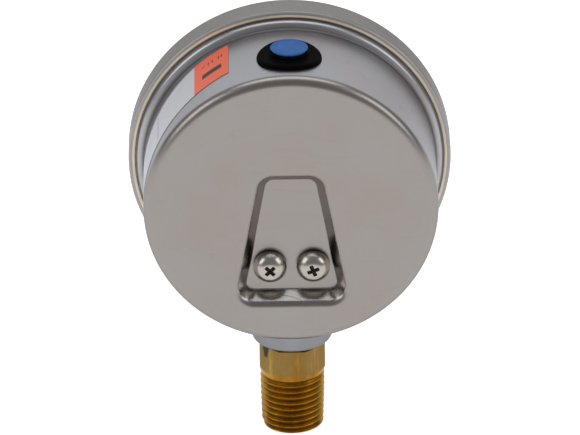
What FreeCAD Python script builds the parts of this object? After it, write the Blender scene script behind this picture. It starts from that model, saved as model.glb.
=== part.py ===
import FreeCAD, Part
import math
import os

# Pressure gauge, 63 mm nominal size, with a lower pipe connection.
# Millimetres. Origin: centre of the pipe thread's lower end. +Z runs up the stem,
# the dial faces -Y and the stamped back faces +Y.

V = FreeCAD.Vector

# Case and bezel
DIAL_Z = 55.4            # height of the dial's axis
CASE_R = 31.0            # outer radius of the case wall
SHEET = 0.5              # sheet thickness of the case
BACK_Y = 10.7            # flat back of the case
BACK_CORNER_R = 2.2
BEAD_R = 32.6            # outer radius of the bead beside the bezel
BEAD_Y = -12.6           # where the wall steps out to the bead
BEAD_DROP = 0.7          # how far the step runs forward
FLANGE_R = 33.6
FLANGE_Y = -15.9         # front of the case flange
BEZEL_R = 34.3
BEZEL_FRONT_Y = -23.2
BEZEL_REAR_Y = -14.95
BEZEL_SHEET = 0.6
BEZEL_FRONT_ROUND = 3.0
BEZEL_OPENING_R = 29.4

# Window stack
GASKET_THICK = 1.5
WINDOW_THICK = 3.0
WINDOW_R = 33.5
WINDOW_REAR_Y = FLANGE_Y - GASKET_THICK
WINDOW_FRONT_Y = WINDOW_REAR_Y - WINDOW_THICK

# Stamped recess in the back, from the dial's axis
RECESS_DEPTH = 3.2
RECESS_TOP_Z = 7.2
RECESS_BOTTOM_Z = -20.8
RECESS_TOP_HALF = 6.0
RECESS_BOTTOM_HALF = 11.4
RECESS_CORNER_R = 2.4
RECESS_EDGE_R = 1.4

# Case screws
SCREW_X = 4.55
SCREW_Z = -14.05
SCREW_HEAD_R = 3.5
SCREW_HEAD_H = 2.75
SCREW_SHANK_R = 1.7
SCREW_SHANK_LENGTH = 5.0
SCREW_TURNS = (45.0, 22.0)
WASHER_THICK = 0.4

# Stem
THREAD_LENGTH = 13.3
THREAD_PITCH = 25.4 / 18.0
THREAD_END_R = 6.55
THREAD_TAPER = 1.0 / 32.0
THREAD_BAR_R = 6.85      # the bar is turned to this before the thread is cut
NECK_FLATS = 14.0
NECK_TOP_Z = 20.2
BOSS_Z = 20.57           # outer face of the stamped boss
BOSS_R = 8.6
SPIGOT_R = 5.8
SPIGOT_TOP_Z = 25.9
STUD_R = 4.0
STUD_TOP_Z = 30.0
PORT_R = 2.25
PORT_DEPTH = 6.0
RESTRICTOR_R = 1.9
RESTRICTOR_LENGTH = 3.0
PASSAGE_R = 1.2

# Tube block inside the case
BLOCK_HALF = 6.4
BLOCK_FRONT_Y = -3.6
BLOCK_TOP_Z = 44.0

# Bourdon tube, on a circle about the dial's axis
TUBE_R = 21.0
TUBE_START = 256.0       # angles are seen from the front, from +X towards +Z
TUBE_END = -27.0
TUBE_Y = 1.5
TUBE_WIDE = 8.0
TUBE_THICK = 2.6
TUBE_WALL = 0.35
TIP_SPAN = 8.0           # degrees covered by the end piece

# Movement
MODULE = 0.22
PINION_TEETH = 12
SECTOR_TEETH = 120       # teeth of the full wheel the sector is part of
SECTOR_CUT = 13          # teeth that are cut
POINTER_SWING = 270.0
SECTOR_SWING = POINTER_SWING * PINION_TEETH / SECTOR_TEETH
TAIL_ARM = 7.5
PIN_R = 0.5
PIVOT_CLEARANCE = 0.05
OPEN_PIVOT_CLEARANCE = 0.17
BACK_PLATE_Y = (-4.6, -3.6)
FRONT_PLATE_Y = (-10.4, -9.4)
SECTOR_Y = (-7.5, -6.7)
LINK_Y = (-6.5, -5.9)
PINION_Y = (-7.8, -6.4)
SPRING_Y = (-8.9, -8.3)
ARBOR_R = 0.6
PILLARS = ((-4.6, 3.6), (4.6, 3.6), (-6.5, -15.5), (4.2, -16.4))
PLATE_CORNERS = ((-6.5, 6.0, 2.5), (6.5, 6.0, 2.5), (12.5, -9.5, 3.0),
                 (12.5, -18.5, 2.5), (-9.0, -18.5, 2.5), (-9.0, -9.5, 3.0))
BLOCK_SCREWS = ((-3.6, -13.9), (3.0, -13.9))
SPRING_INNER_R = 1.35
SPRING_OUTER_R = 3.9
SPRING_TURNS = 4.25
SPRING_STRIP = 0.14

# Dial and pointer
DIAL_R = 30.6
DIAL_Y = (-13.4, -12.9)
DIAL_POSTS = ((-7.4, -11.5), (9.6, -16.2))
POINTER_Y = (-15.0, -14.7)
POINTER_REST = 225.0
POINTER_TIP = 24.0
POINTER_TAIL = 8.5
STOP_PIN_AT = 19.0

# Fill plug on top
GROMMET_R = 6.85
GROMMET_THICK = 1.0
GROMMET_HOLE_R = 4.6
HUB_R = 4.1
PLUG_R = 4.0
PLUG_TOP = 33.2          # above the dial's axis
PLUG_THICK = 0.5
PLUG_STEM_R = 2.05
PLUG_STEM_LENGTH = 6.0

# Stickers on the case wall, angles from the top towards +X
STICKER_START = 24.2
STICKER_COLOUR_EDGE = 39.8
STICKER_END = 84.0
STICKER_THICK = 0.15
STICKER_WIDE = 13.4
STICKER_Y = -4.9
STICKER_TILT = 11.5


def at_angle(radius, degrees, centre=(0.0, 0.0)):
    """Point on a circle, seen from the front."""
    turn = math.radians(degrees)
    return (centre[0] + radius * math.cos(turn), centre[1] + radius * math.sin(turn))


def turned(point, degrees, centre=(0.0, 0.0)):
    """The point turned about centre, anticlockwise as seen from the front."""
    turn = math.radians(degrees)
    across = point[0] - centre[0]
    up = point[1] - centre[1]
    x = centre[0] + across * math.cos(turn) - up * math.sin(turn)
    z = centre[1] + across * math.sin(turn) + up * math.cos(turn)
    return (x, z)


def linkage():
    """Places of the movement's pivots at rest, from the dial's axis.

    The tube's end turns about the centroid of the tube's arc as the tube uncurls. The
    link stands square to the sector's tail arm at half travel, and the arbor stands
    one centre distance of the gear pair from the pinion.
    """
    span = math.radians(TUBE_START - TUBE_END)
    middle = (TUBE_START + TUBE_END) / 2
    centroid = at_angle(TUBE_R * math.sin(span / 2) / (span / 2), middle)
    tip = at_angle(TUBE_R, TUBE_END - TIP_SPAN / 2)
    reach = math.dist(tip, centroid)
    tip_swing = TAIL_ARM * SECTOR_SWING / reach
    tip_half = turned(tip, tip_swing / 2, centroid)
    travel = ((centroid[1] - tip_half[1]) / reach, (tip_half[0] - centroid[0]) / reach)
    outward = (travel[1], -travel[0])
    foot = (tip_half[0] - TAIL_ARM * outward[0], tip_half[1] - TAIL_ARM * outward[1])
    along = foot[0] * travel[0] + foot[1] * travel[1]
    centres = MODULE * (PINION_TEETH + SECTOR_TEETH) / 2
    link = along + math.sqrt(along ** 2 - foot[0] ** 2 - foot[1] ** 2 + centres ** 2)
    arbor = (foot[0] - link * travel[0], foot[1] - link * travel[1])
    tail_half = (arbor[0] + TAIL_ARM * outward[0], arbor[1] + TAIL_ARM * outward[1])
    tail = turned(tail_half, -SECTOR_SWING / 2, arbor)
    # The link keeps its direction, so its far hole takes the middle of the error.
    rest = (tail[0] - tip[0], tail[1] - tip[1])
    half = (tail_half[0] - tip_half[0], tail_half[1] - tip_half[1])
    hole = (tip[0] + (rest[0] + half[0]) / 2, tip[1] + (rest[1] + half[1]) / 2)
    return {"centroid": centroid, "tip": tip, "tip_swing": tip_swing,
            "arbor": arbor, "tail": tail, "hole": hole}


PIVOTS = linkage()


def front_plane(y):
    """Maps (x, z from the dial's axis) to a plane of constant y."""
    return lambda u, v: V(u, y, DIAL_Z + v)


def axis_section(r, y):
    """Maps (radius, y) to the half plane that is revolved about the dial's axis."""
    return V(r, y, DIAL_Z)


def stem_section(r, z):
    """Maps (radius, z) to the half plane that is revolved about the stem's axis."""
    return V(r, 0, z)


def face_of(corners, place):
    """Closed outline with a round of radius r at each corner (u, v, r)."""
    starts = []
    ends = []
    middles = []
    count = len(corners)
    for i, (u, v, r) in enumerate(corners):
        here = V(u, v, 0)
        before = V(corners[i - 1][0], corners[i - 1][1], 0) - here
        after = V(corners[(i + 1) % count][0], corners[(i + 1) % count][1], 0) - here
        before.normalize()
        after.normalize()
        half = before.getAngle(after) / 2
        trim = r / math.tan(half) if r else 0.0
        starts.append(here + before * trim)
        ends.append(here + after * trim)
        inward = before + after
        if r:
            inward.normalize()
        middles.append(here + inward * (r / math.sin(half) - r) if r else here)
    edges = []
    for i, (u, v, r) in enumerate(corners):
        if r:
            points = [place(p.x, p.y) for p in (starts[i], middles[i], ends[i])]
            edges.append(Part.Arc(*points).toShape())
        following = starts[(i + 1) % count]
        if (following - ends[i]).Length > 1e-6:
            line = Part.LineSegment(place(ends[i].x, ends[i].y), place(following.x, following.y))
            edges.append(line.toShape())
    return Part.Face(Part.Wire(edges))


def plate(corners, y_range):
    """Flat plate parallel to the dial."""
    face = face_of(corners, front_plane(y_range[0]))
    return face.extrude(V(0, y_range[1] - y_range[0], 0))


def dial_ring(corners, angle=360.0):
    """Solid of revolution about the dial's axis."""
    face = face_of(corners, axis_section)
    return face.revolve(V(0, 0, DIAL_Z), V(0, 1, 0), angle)


def stem_ring(corners):
    """Solid of revolution about the stem's axis."""
    face = face_of(corners, stem_section)
    return face.revolve(V(0, 0, 0), V(0, 0, 1), 360)


def rod(point, radius, y_range):
    """Round rod parallel to the dial's axis."""
    start = V(point[0], y_range[0], DIAL_Z + point[1])
    return Part.makeCylinder(radius, y_range[1] - y_range[0], start, V(0, 1, 0))


def upright(radius, z_low, z_high, x=0.0, y=0.0):
    """Round rod parallel to the stem."""
    return Part.makeCylinder(radius, z_high - z_low, V(x, y, z_low), V(0, 0, 1))


def box(x_range, y_range, z_range):
    corner = V(x_range[0], y_range[0], z_range[0])
    return Part.makeBox(x_range[1] - x_range[0], y_range[1] - y_range[0],
                        z_range[1] - z_range[0], corner)


def bar(first, first_r, second, second_r, y_range):
    """Flat bar with two round ends and straight sides that meet them at a tangent."""
    gap = math.dist(first, second)
    heading = math.degrees(math.atan2(second[1] - first[1], second[0] - first[0]))
    lean = math.degrees(math.acos((first_r - second_r) / gap))
    corners = [at_angle(first_r, heading + lean, first), at_angle(first_r, heading - lean, first),
               at_angle(second_r, heading - lean, second), at_angle(second_r, heading + lean, second)]
    sides = plate([(u, v, 0) for u, v in corners], y_range)
    return sides.fuse([rod(first, first_r, y_range), rod(second, second_r, y_range)]).removeSplitter()


def save(name, shape):
    if not shape.isValid():
        raise ValueError(name + " is not a valid shape")
    shape.exportStep(os.path.join("parts", name + ".step"))


# Case

def recess_tool(grow, depth, edge_r):
    """Tapered prism of the recess, with its floor edge rounded."""
    half_top = RECESS_TOP_HALF + grow
    half_bottom = RECESS_BOTTOM_HALF + grow
    top = RECESS_TOP_Z + grow
    bottom = RECESS_BOTTOM_Z - grow
    r = RECESS_CORNER_R + grow
    corners = [(-half_top, top, r), (half_top, top, r), (half_bottom, bottom, r), (-half_bottom, bottom, r)]
    floor_y = BACK_Y - depth
    solid = plate(corners, (floor_y, BACK_Y + 5))
    floor_edges = [e for e in solid.Edges if abs(e.BoundBox.YMax - floor_y) < 1e-6]
    return solid.makeFillet(edge_r, floor_edges)


def case_body(inset):
    """Outer solid of the case, moved in by inset."""
    back = BACK_Y - inset
    wall = CASE_R - inset
    bead = BEAD_R - inset
    slant = math.atan2(BEAD_DROP, BEAD_R - CASE_R)
    step = BEAD_Y - inset * (1 - math.sin(slant)) / math.cos(slant)
    front = FLANGE_Y - inset
    profile = [(0, back, 0), (wall, back, BACK_CORNER_R - inset), (wall, step, 1.2 + inset),
               (bead, step - BEAD_DROP, 0.8 - inset), (bead, front, 0), (0, front, 0)]
    boss = stem_ring([(0, BOSS_Z + inset, 0), (BOSS_R - 0.2 - inset, BOSS_Z + inset, 1.3 - inset),
                      (BOSS_R - inset, BOSS_Z + 4.4, 0), (BOSS_R - inset, BOSS_Z + 8, 0), (0, BOSS_Z + 8, 0)])
    return dial_ring(profile).fuse(boss)


def make_case():
    """Deep drawn sheet case with a bead, a flange, a boss and a recess."""
    flange = dial_ring([(BEAD_R - SHEET, FLANGE_Y, 0), (FLANGE_R, FLANGE_Y, 0),
                        (FLANGE_R, FLANGE_Y + SHEET, 0), (BEAD_R - SHEET, FLANGE_Y + SHEET, 0)])
    outer = case_body(0).fuse(flange).cut(recess_tool(0, RECESS_DEPTH, RECESS_EDGE_R))
    inner = case_body(SHEET).cut(recess_tool(SHEET, RECESS_DEPTH + SHEET, RECESS_EDGE_R + SHEET))
    shell = outer.cut(inner)
    holes = [upright(SPIGOT_R + 0.05, BOSS_Z - 1, BOSS_Z + 3),
             upright(GROMMET_HOLE_R, DIAL_Z + CASE_R - 4, DIAL_Z + CASE_R + 2)]
    for x in (-SCREW_X, SCREW_X):
        holes.append(rod((x, SCREW_Z), SCREW_SHANK_R + 0.1, (0, BACK_Y)))
    return shell.cut(holes)


def make_bezel():
    """Crimped ring: round front edge, straight band and a rear lip behind the flange."""
    inner = BEZEL_R - BEZEL_SHEET
    front = BEZEL_FRONT_Y
    lip = WINDOW_FRONT_Y
    rear = BEZEL_REAR_Y
    return dial_ring([(BEZEL_R, rear, 0.4), (BEZEL_R, front, BEZEL_FRONT_ROUND),
                      (BEZEL_OPENING_R, front, 1.3), (BEZEL_OPENING_R, lip, 0),
                      (BEZEL_OPENING_R + BEZEL_SHEET, lip, 0),
                      (BEZEL_OPENING_R + BEZEL_SHEET, front + BEZEL_SHEET, 0.7),
                      (inner, front + BEZEL_SHEET, BEZEL_FRONT_ROUND - BEZEL_SHEET),
                      (inner, rear - 0.45, 0), (BEAD_R + 0.3, rear - 0.45, 0), (BEAD_R + 0.3, rear, 0.2)])


def make_window():
    return dial_ring([(0, WINDOW_REAR_Y, 0), (WINDOW_R, WINDOW_REAR_Y, 0.2),
                      (WINDOW_R, WINDOW_FRONT_Y, 0.3), (0, WINDOW_FRONT_Y, 0)])


def make_window_gasket():
    return dial_ring([(30.8, FLANGE_Y, 0.3), (WINDOW_R, FLANGE_Y, 0.3),
                      (WINDOW_R, WINDOW_REAR_Y, 0.3), (30.8, WINDOW_REAR_Y, 0.3)])


# Fasteners on the back

def cross_cut(x, turn_degrees, top_y):
    """Cross recess in a screw head."""
    arms = []
    for extra in (0.0, 90.0):
        arm = box((-1.9, 1.9), (top_y - 1.4, top_y + 1), (-0.45, 0.45))
        arm.rotate(V(0, 0, 0), V(0, 1, 0), turn_degrees + extra)
        arm.translate(V(x, 0, DIAL_Z + SCREW_Z))
        arms.append(arm)
    return arms


def make_case_screws():
    """Two pan head screws that hold the tube block to the recess floor."""
    floor_y = BACK_Y - RECESS_DEPTH
    under = floor_y + WASHER_THICK
    top = under + SCREW_HEAD_H
    screws = []
    for x, turn_degrees in zip((SCREW_X, -SCREW_X), SCREW_TURNS):
        centre = (x, SCREW_Z)
        head = rod(centre, SCREW_HEAD_R, (under, top))
        crown = [e for e in head.Edges if abs(e.BoundBox.YMin - top) < 1e-6]
        head = head.makeFillet(1.5, crown)
        shank = rod(centre, SCREW_SHANK_R, (under - SCREW_SHANK_LENGTH, under))
        screws.append(head.fuse(shank).cut(cross_cut(x, turn_degrees, top)))
    return Part.makeCompound(screws)


def make_screw_washers():
    floor_y = BACK_Y - RECESS_DEPTH
    washers = []
    for x in (-SCREW_X, SCREW_X):
        centre = (x, SCREW_Z)
        ring = rod(centre, SCREW_HEAD_R - 0.4, (floor_y, floor_y + WASHER_THICK))
        washers.append(ring.cut(rod(centre, SCREW_SHANK_R, (floor_y - 1, floor_y + 2))))
    return Part.makeCompound(washers)


# Stem

def thread_radius(z):
    return THREAD_END_R + THREAD_TAPER * z


def thread_groove():
    """Helical V groove with small flats, on the pipe thread's cone."""
    start = -THREAD_PITCH
    crest = thread_radius(start)
    depth = 0.76 * THREAD_PITCH
    over = 0.25
    flat = 0.06
    slope = math.tan(math.radians(30))
    corners = [V(crest + over, 0, start - flat - (depth + over) * slope),
               V(crest - depth, 0, start - flat), V(crest - depth, 0, start + flat),
               V(crest + over, 0, start + flat + (depth + over) * slope)]
    section = Part.makePolygon(corners + corners[:1])
    taper = math.degrees(math.atan(THREAD_TAPER))
    helix = Part.makeHelix(THREAD_PITCH, THREAD_LENGTH + 0.3, crest, taper)
    helix.translate(V(0, 0, start))
    return Part.Wire(helix.Edges).makePipeShell([section], True, True)


def make_socket():
    """Pipe thread, eight sided neck with flats on the sides, spigot and inner stud."""
    cone = Part.makeCone(thread_radius(0), thread_radius(THREAD_LENGTH), THREAD_LENGTH)
    end_r = THREAD_END_R - 0.45
    bar_end = stem_ring([(0, 0, 0), (end_r, 0, 0), (THREAD_BAR_R, THREAD_BAR_R - end_r, 0),
                         (THREAD_BAR_R, THREAD_LENGTH, 0), (0, THREAD_LENGTH, 0)])
    thread = cone.cut(thread_groove()).common(bar_end)
    corner = NECK_FLATS / 2 / math.cos(math.radians(22.5))
    points = [at_angle(corner, 22.5 + 45 * i) for i in range(9)]
    eight = Part.Face(Part.makePolygon([V(x, y, THREAD_LENGTH) for x, y in points]))
    neck = eight.extrude(V(0, 0, NECK_TOP_Z - THREAD_LENGTH))
    turned_end = stem_ring([(0, THREAD_LENGTH, 0), (THREAD_BAR_R - 0.1, THREAD_LENGTH, 0),
                            (corner, THREAD_LENGTH + 1.6, 0), (corner, NECK_TOP_Z, 0), (0, NECK_TOP_Z, 0)])
    neck = neck.common(turned_end)
    body = thread.fuse([neck, upright(SPIGOT_R, NECK_TOP_Z, SPIGOT_TOP_Z),
                        upright(STUD_R, SPIGOT_TOP_Z, STUD_TOP_Z)])
    bores = [upright(PORT_R, -1, PORT_DEPTH),
             upright(RESTRICTOR_R, PORT_DEPTH - 0.1, PORT_DEPTH + RESTRICTOR_LENGTH),
             upright(PASSAGE_R, PORT_DEPTH, STUD_TOP_Z + 1)]
    return body.cut(bores)


def make_restrictor():
    """Plug with a fine hole that damps pulsation."""
    low = PORT_DEPTH
    plug = upright(RESTRICTOR_R, low, low + RESTRICTOR_LENGTH)
    slot = box((-2.5, 2.5), (-0.3, 0.3), (low - 0.1, low + 0.8))
    return plug.cut([upright(0.4, low - 1, low + 5), slot])


def make_neck_seal():
    """Flat rubber seal between the boss and the neck."""
    return upright(NECK_FLATS / 2, NECK_TOP_Z, BOSS_Z).cut(upright(SPIGOT_R, NECK_TOP_Z - 1, BOSS_Z + 1))


def make_tube_block():
    """Block that joins the stem to the tube and carries the movement."""
    back = BACK_Y - RECESS_DEPTH - SHEET
    block = box((-BLOCK_HALF, BLOCK_HALF), (BLOCK_FRONT_Y, back), (SPIGOT_TOP_Z, BLOCK_TOP_Z))
    cuts = [upright(STUD_R, SPIGOT_TOP_Z - 1, STUD_TOP_Z), tube_solid(0, TUBE_START, TUBE_START - 30)]
    foot_z = TUBE_R * math.sin(math.radians(TUBE_START))
    cuts.append(upright(PASSAGE_R, STUD_TOP_Z - 1, DIAL_Z + foot_z + 0.6))
    cross = Part.makeCylinder(0.9, 5.0, V(0, TUBE_Y / 2, DIAL_Z + foot_z), V(-1, 0, 0))
    cuts.append(cross)
    for x in (-SCREW_X, SCREW_X):
        cuts.append(rod((x, SCREW_Z), SCREW_SHANK_R, (back - SCREW_SHANK_LENGTH, back + 1)))
    for point in BLOCK_SCREWS:
        cuts.append(rod(point, 0.8, (BLOCK_FRONT_Y - 1, BLOCK_FRONT_Y + 3)))
    return block.cut(cuts)


# Bourdon tube

def tube_solid(inset, start, end):
    """Solid with the tube's flattened section, on the tube's circle."""
    half_wide = TUBE_WIDE / 2 - inset
    half_thick = TUBE_THICK / 2 - inset
    r = half_thick * 0.98
    corners = [(TUBE_R - half_thick, TUBE_Y - half_wide, r), (TUBE_R + half_thick, TUBE_Y - half_wide, r),
               (TUBE_R + half_thick, TUBE_Y + half_wide, r), (TUBE_R - half_thick, TUBE_Y + half_wide, r)]
    # Turning about +Y runs clockwise seen from the front, so the arc goes from start down to end.
    solid = dial_ring(corners, start - end)
    solid.rotate(V(0, 0, DIAL_Z), V(0, 1, 0), -start)
    return solid


def make_bourdon_tube():
    outer = tube_solid(0, TUBE_START, TUBE_END)
    return outer.cut(tube_solid(TUBE_WALL, TUBE_START, TUBE_END))


def make_tube_tip():
    """End piece that closes the tube, with a boss for the link's pin."""
    end = tube_solid(0, TUBE_END, TUBE_END - TIP_SPAN)
    boss = rod(PIVOTS["tip"], 1.25, (LINK_Y[1] + 0.1, TUBE_Y))
    return end.fuse(boss).cut(rod(PIVOTS["tip"], PIN_R, (LINK_Y[0] - 1, TUBE_Y - 1)))


def make_tip_pin():
    shank = rod(PIVOTS["tip"], PIN_R, (LINK_Y[0] - 0.1, TUBE_Y - 1))
    return shank.fuse(rod(PIVOTS["tip"], 0.9, (LINK_Y[0] - 0.4, LINK_Y[0] - 0.1)))


# Movement

def make_link():
    """Flat link between the tube's end and the sector's tail."""
    strip = bar(PIVOTS["tip"], 1.2, PIVOTS["hole"], 1.2, LINK_Y)
    holes = [rod(PIVOTS["tip"], PIN_R + PIVOT_CLEARANCE, (-9, -3)),
             rod(PIVOTS["hole"], PIN_R + OPEN_PIVOT_CLEARANCE, (-9, -3))]
    return strip.cut(holes)


def make_tail_pin():
    shank = rod(PIVOTS["tail"], PIN_R, (SECTOR_Y[0], LINK_Y[1] + 0.1))
    return shank.fuse(rod(PIVOTS["tail"], 0.9, (LINK_Y[1] + 0.1, LINK_Y[1] + 0.4)))


def tooth_outline(teeth, centre_angle, centre, addendum):
    """One involute tooth with a 20 degree pressure angle, from root to root."""
    pitch_r = MODULE * teeth / 2
    base_r = pitch_r * math.cos(math.radians(20))
    tip_r = pitch_r + addendum * MODULE
    root_r = pitch_r - 1.2 * MODULE
    half_at_pitch = 0.43 * math.pi / teeth

    def involute(radius):
        lean = math.acos(min(1.0, base_r / radius))
        return math.tan(lean) - lean

    flank = []
    steps = 4
    low = max(base_r, root_r)
    for i in range(steps + 1):
        radius = low + (tip_r - low) * i / steps
        half = half_at_pitch + involute(pitch_r) - involute(radius)
        flank.append((radius, math.degrees(half)))
    if root_r < base_r:
        flank.insert(0, (root_r, flank[0][1]))
    rising = [at_angle(radius, centre_angle - half, centre) for radius, half in flank]
    falling = [at_angle(radius, centre_angle + half, centre) for radius, half in reversed(flank)]
    return rising + falling


def centre_line_angle():
    """Angle from the pinion to the sector's arbor."""
    return math.degrees(math.atan2(PIVOTS["arbor"][1], PIVOTS["arbor"][0]))


def make_pinion():
    points = []
    for i in range(PINION_TEETH):
        angle = centre_line_angle() + 360.0 * i / PINION_TEETH
        points += tooth_outline(PINION_TEETH, angle, (0.0, 0.0), 0.8)
    wheel = plate([(u, v, 0) for u, v in points], PINION_Y)
    return wheel.cut(rod((0, 0), ARBOR_R, (-9, -5)))


def make_sector_gear():
    """Toothed sector with its tail arm, turned to the low end of its swing."""
    arbor = PIVOTS["arbor"]
    middle = centre_line_angle() + 180.0 - SECTOR_SWING / 2
    pitch_angle = 360.0 / SECTOR_TEETH
    points = []
    for i in range(SECTOR_CUT):
        angle = middle + pitch_angle * (i - (SECTOR_CUT - 1) / 2)
        points += tooth_outline(SECTOR_TEETH, angle, arbor, 0.8)
    points += [at_angle(2.4, middle + 70, arbor), at_angle(2.4, middle - 70, arbor)]
    fan = plate([(u, v, 0) for u, v in points], SECTOR_Y)
    window = [(*at_angle(11.0, middle - 11, arbor), 0.6), (*at_angle(11.0, middle + 11, arbor), 0.6),
              (*at_angle(5.0, middle + 9, arbor), 0.4), (*at_angle(5.0, middle - 9, arbor), 0.4)]
    arm = bar(arbor, 2.4, PIVOTS["tail"], 1.2, SECTOR_Y)
    gear = fan.cut(plate(window, (-9, -5))).fuse(arm)
    return gear.cut([rod(arbor, ARBOR_R, (-9, -5)), rod(PIVOTS["tail"], PIN_R, (-9, -5))])


def make_sector_arbor():
    arbor = PIVOTS["arbor"]
    body = rod(arbor, ARBOR_R, (FRONT_PLATE_Y[1] + 0.1, BACK_PLATE_Y[0] - 0.1))
    collar = rod(arbor, 1.1, (SECTOR_Y[1], SECTOR_Y[1] + 0.5))
    pivot = rod(arbor, 0.4, (FRONT_PLATE_Y[0], BACK_PLATE_Y[1]))
    return body.fuse([collar, pivot])


def make_pointer_arbor():
    body = rod((0, 0), ARBOR_R, (POINTER_Y[0] - 0.5, BACK_PLATE_Y[0] - 0.1))
    return body.fuse(rod((0, 0), 0.4, (BACK_PLATE_Y[0] - 0.2, BACK_PLATE_Y[1])))


def make_movement_plate(y_range, pointer_hole_r, extra_holes):
    """Plate of the movement with its pivot holes."""
    shape = plate(PLATE_CORNERS, y_range)
    wide = (y_range[0] - 1, y_range[1] + 1)
    holes = [rod((0, 0), pointer_hole_r + PIVOT_CLEARANCE, wide),
             rod(PIVOTS["arbor"], 0.4 + PIVOT_CLEARANCE, wide)]
    for point, radius in extra_holes:
        holes.append(rod(point, radius, wide))
    return shape.cut(holes)


def make_back_plate():
    return make_movement_plate(BACK_PLATE_Y, 0.4, [(point, 0.8) for point in BLOCK_SCREWS])


def make_front_plate():
    return make_movement_plate(FRONT_PLATE_Y, ARBOR_R, [(point, 0.6) for point in PILLARS])


def make_pillars():
    return Part.makeCompound([rod(p, 1.0, (FRONT_PLATE_Y[1], BACK_PLATE_Y[0])) for p in PILLARS])


def make_pillar_screws():
    """Screws that hold the front plate on the pillars."""
    screws = []
    for point in PILLARS:
        head = rod(point, 1.0, (FRONT_PLATE_Y[0] - 0.6, FRONT_PLATE_Y[0]))
        slot = box((-1.5, 1.5), (FRONT_PLATE_Y[0] - 1, FRONT_PLATE_Y[0] - 0.35), (-0.12, 0.12))
        slot.translate(V(point[0], 0, DIAL_Z + point[1]))
        shank = rod(point, 0.6, (FRONT_PLATE_Y[0], FRONT_PLATE_Y[1]))
        screws.append(head.cut(slot).fuse(shank))
    return Part.makeCompound(screws)


def make_block_screws():
    """Screws that hold the movement on the tube block."""
    screws = []
    for point in BLOCK_SCREWS:
        head = rod(point, 1.4, (BACK_PLATE_Y[0] - 0.8, BACK_PLATE_Y[0]))
        slot = box((-2, 2), (BACK_PLATE_Y[0] - 1.5, BACK_PLATE_Y[0] - 0.45), (-0.2, 0.2))
        slot.translate(V(point[0], 0, DIAL_Z + point[1]))
        screws.append(head.cut(slot).fuse(rod(point, 0.8, (BACK_PLATE_Y[0], BLOCK_FRONT_Y + 2.5))))
    return Part.makeCompound(screws)


def spiral_curve(offset):
    """Flat spiral about the pointer's axis, moved out by offset."""
    points = []
    steps = int(SPRING_TURNS * 16)
    for i in range(steps + 1):
        part = i / steps
        radius = SPRING_INNER_R + (SPRING_OUTER_R - SPRING_INNER_R) * part + offset
        u, v = at_angle(radius, 360.0 * SPRING_TURNS * part)
        points.append(V(u, SPRING_Y[0], DIAL_Z + v))
    curve = Part.BSplineCurve()
    curve.interpolate(points)
    return curve.toShape(), points[0], points[-1]


def make_hairspring():
    inside, inside_start, inside_end = spiral_curve(0.0)
    outside, outside_start, outside_end = spiral_curve(SPRING_STRIP)
    first = Part.LineSegment(inside_start, outside_start).toShape()
    last = Part.LineSegment(inside_end, outside_end).toShape()
    wire = Part.Wire(Part.__sortEdges__([inside, last, outside, first]))
    return Part.Face(wire).extrude(V(0, SPRING_Y[1] - SPRING_Y[0], 0))


def make_collet():
    """Ring on the pointer's arbor that holds the hairspring's inner end."""
    ring = rod((0, 0), SPRING_INNER_R - 0.05, (SPRING_Y[0] - 0.1, SPRING_Y[1] + 0.1))
    return ring.cut(rod((0, 0), ARBOR_R, (-10, -7)))


def make_stud():
    """Post under the front plate that holds the hairspring's outer end."""
    end = at_angle(SPRING_OUTER_R + SPRING_STRIP + 0.55, 360.0 * SPRING_TURNS)
    return rod(end, 0.5, (FRONT_PLATE_Y[1], SPRING_Y[1]))


# Dial and pointer

def make_dial():
    disc = rod((0, 0), DIAL_R, DIAL_Y)
    holes = [rod((0, 0), 2.0, (-15, -12))]
    holes += [rod(point, 0.7, (-15, -12)) for point in DIAL_POSTS]
    return disc.cut(holes)


def make_dial_posts():
    return Part.makeCompound([rod(p, 1.3, (DIAL_Y[1], FRONT_PLATE_Y[0])) for p in DIAL_POSTS])


def make_dial_screws():
    screws = []
    for point in DIAL_POSTS:
        head = rod(point, 1.4, (DIAL_Y[0] - 0.7, DIAL_Y[0]))
        slot = box((-2, 2), (DIAL_Y[0] - 1.5, DIAL_Y[0] - 0.35), (-0.2, 0.2))
        slot.translate(V(point[0], 0, DIAL_Z + point[1]))
        screws.append(head.cut(slot).fuse(rod(point, 0.7, DIAL_Y)))
    return Part.makeCompound(screws)


def make_stop_pin():
    """Pin beside the pointer's rest, on its low side."""
    return rod(at_angle(STOP_PIN_AT, POINTER_REST + 5.0), 0.45, (POINTER_Y[0] - 0.4, DIAL_Y[0]))


def make_pointer():
    """Thin tapered pointer with a counterweight, at the low end of the scale."""
    blade = [(POINTER_TIP, 0.2), (POINTER_TIP, -0.2), (2.0, -0.9), (-2.0, -0.9),
             (-POINTER_TAIL, -1.6), (-POINTER_TAIL, 1.6), (-2.0, 0.9), (2.0, 0.9)]
    corners = [(*turned(point, POINTER_REST), 0) for point in blade]
    shape = plate(corners, POINTER_Y).fuse(rod((0, 0), 2.2, POINTER_Y))
    return shape.cut(rod((0, 0), ARBOR_R + 0.4, (-17, -13)))


def make_pointer_hub():
    """Bush that fixes the pointer on its arbor."""
    front = rod((0, 0), 1.7, (POINTER_Y[0] - 0.8, POINTER_Y[0]))
    sleeve = rod((0, 0), ARBOR_R + 0.4, (POINTER_Y[0], POINTER_Y[1] + 0.6))
    return front.fuse(sleeve).cut(rod((0, 0), ARBOR_R, (POINTER_Y[0] - 0.5, -13)))


# Fill plug

def wall_band(inner, outer, radius):
    """Part of a tube about the dial's axis that lies inside an upright cylinder."""
    ring = rod((0, 0), outer, (-radius - 1, radius + 1)).cut(rod((0, 0), inner, (-radius - 2, radius + 2)))
    return ring.common(upright(radius, DIAL_Z, DIAL_Z + outer + 1))


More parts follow.
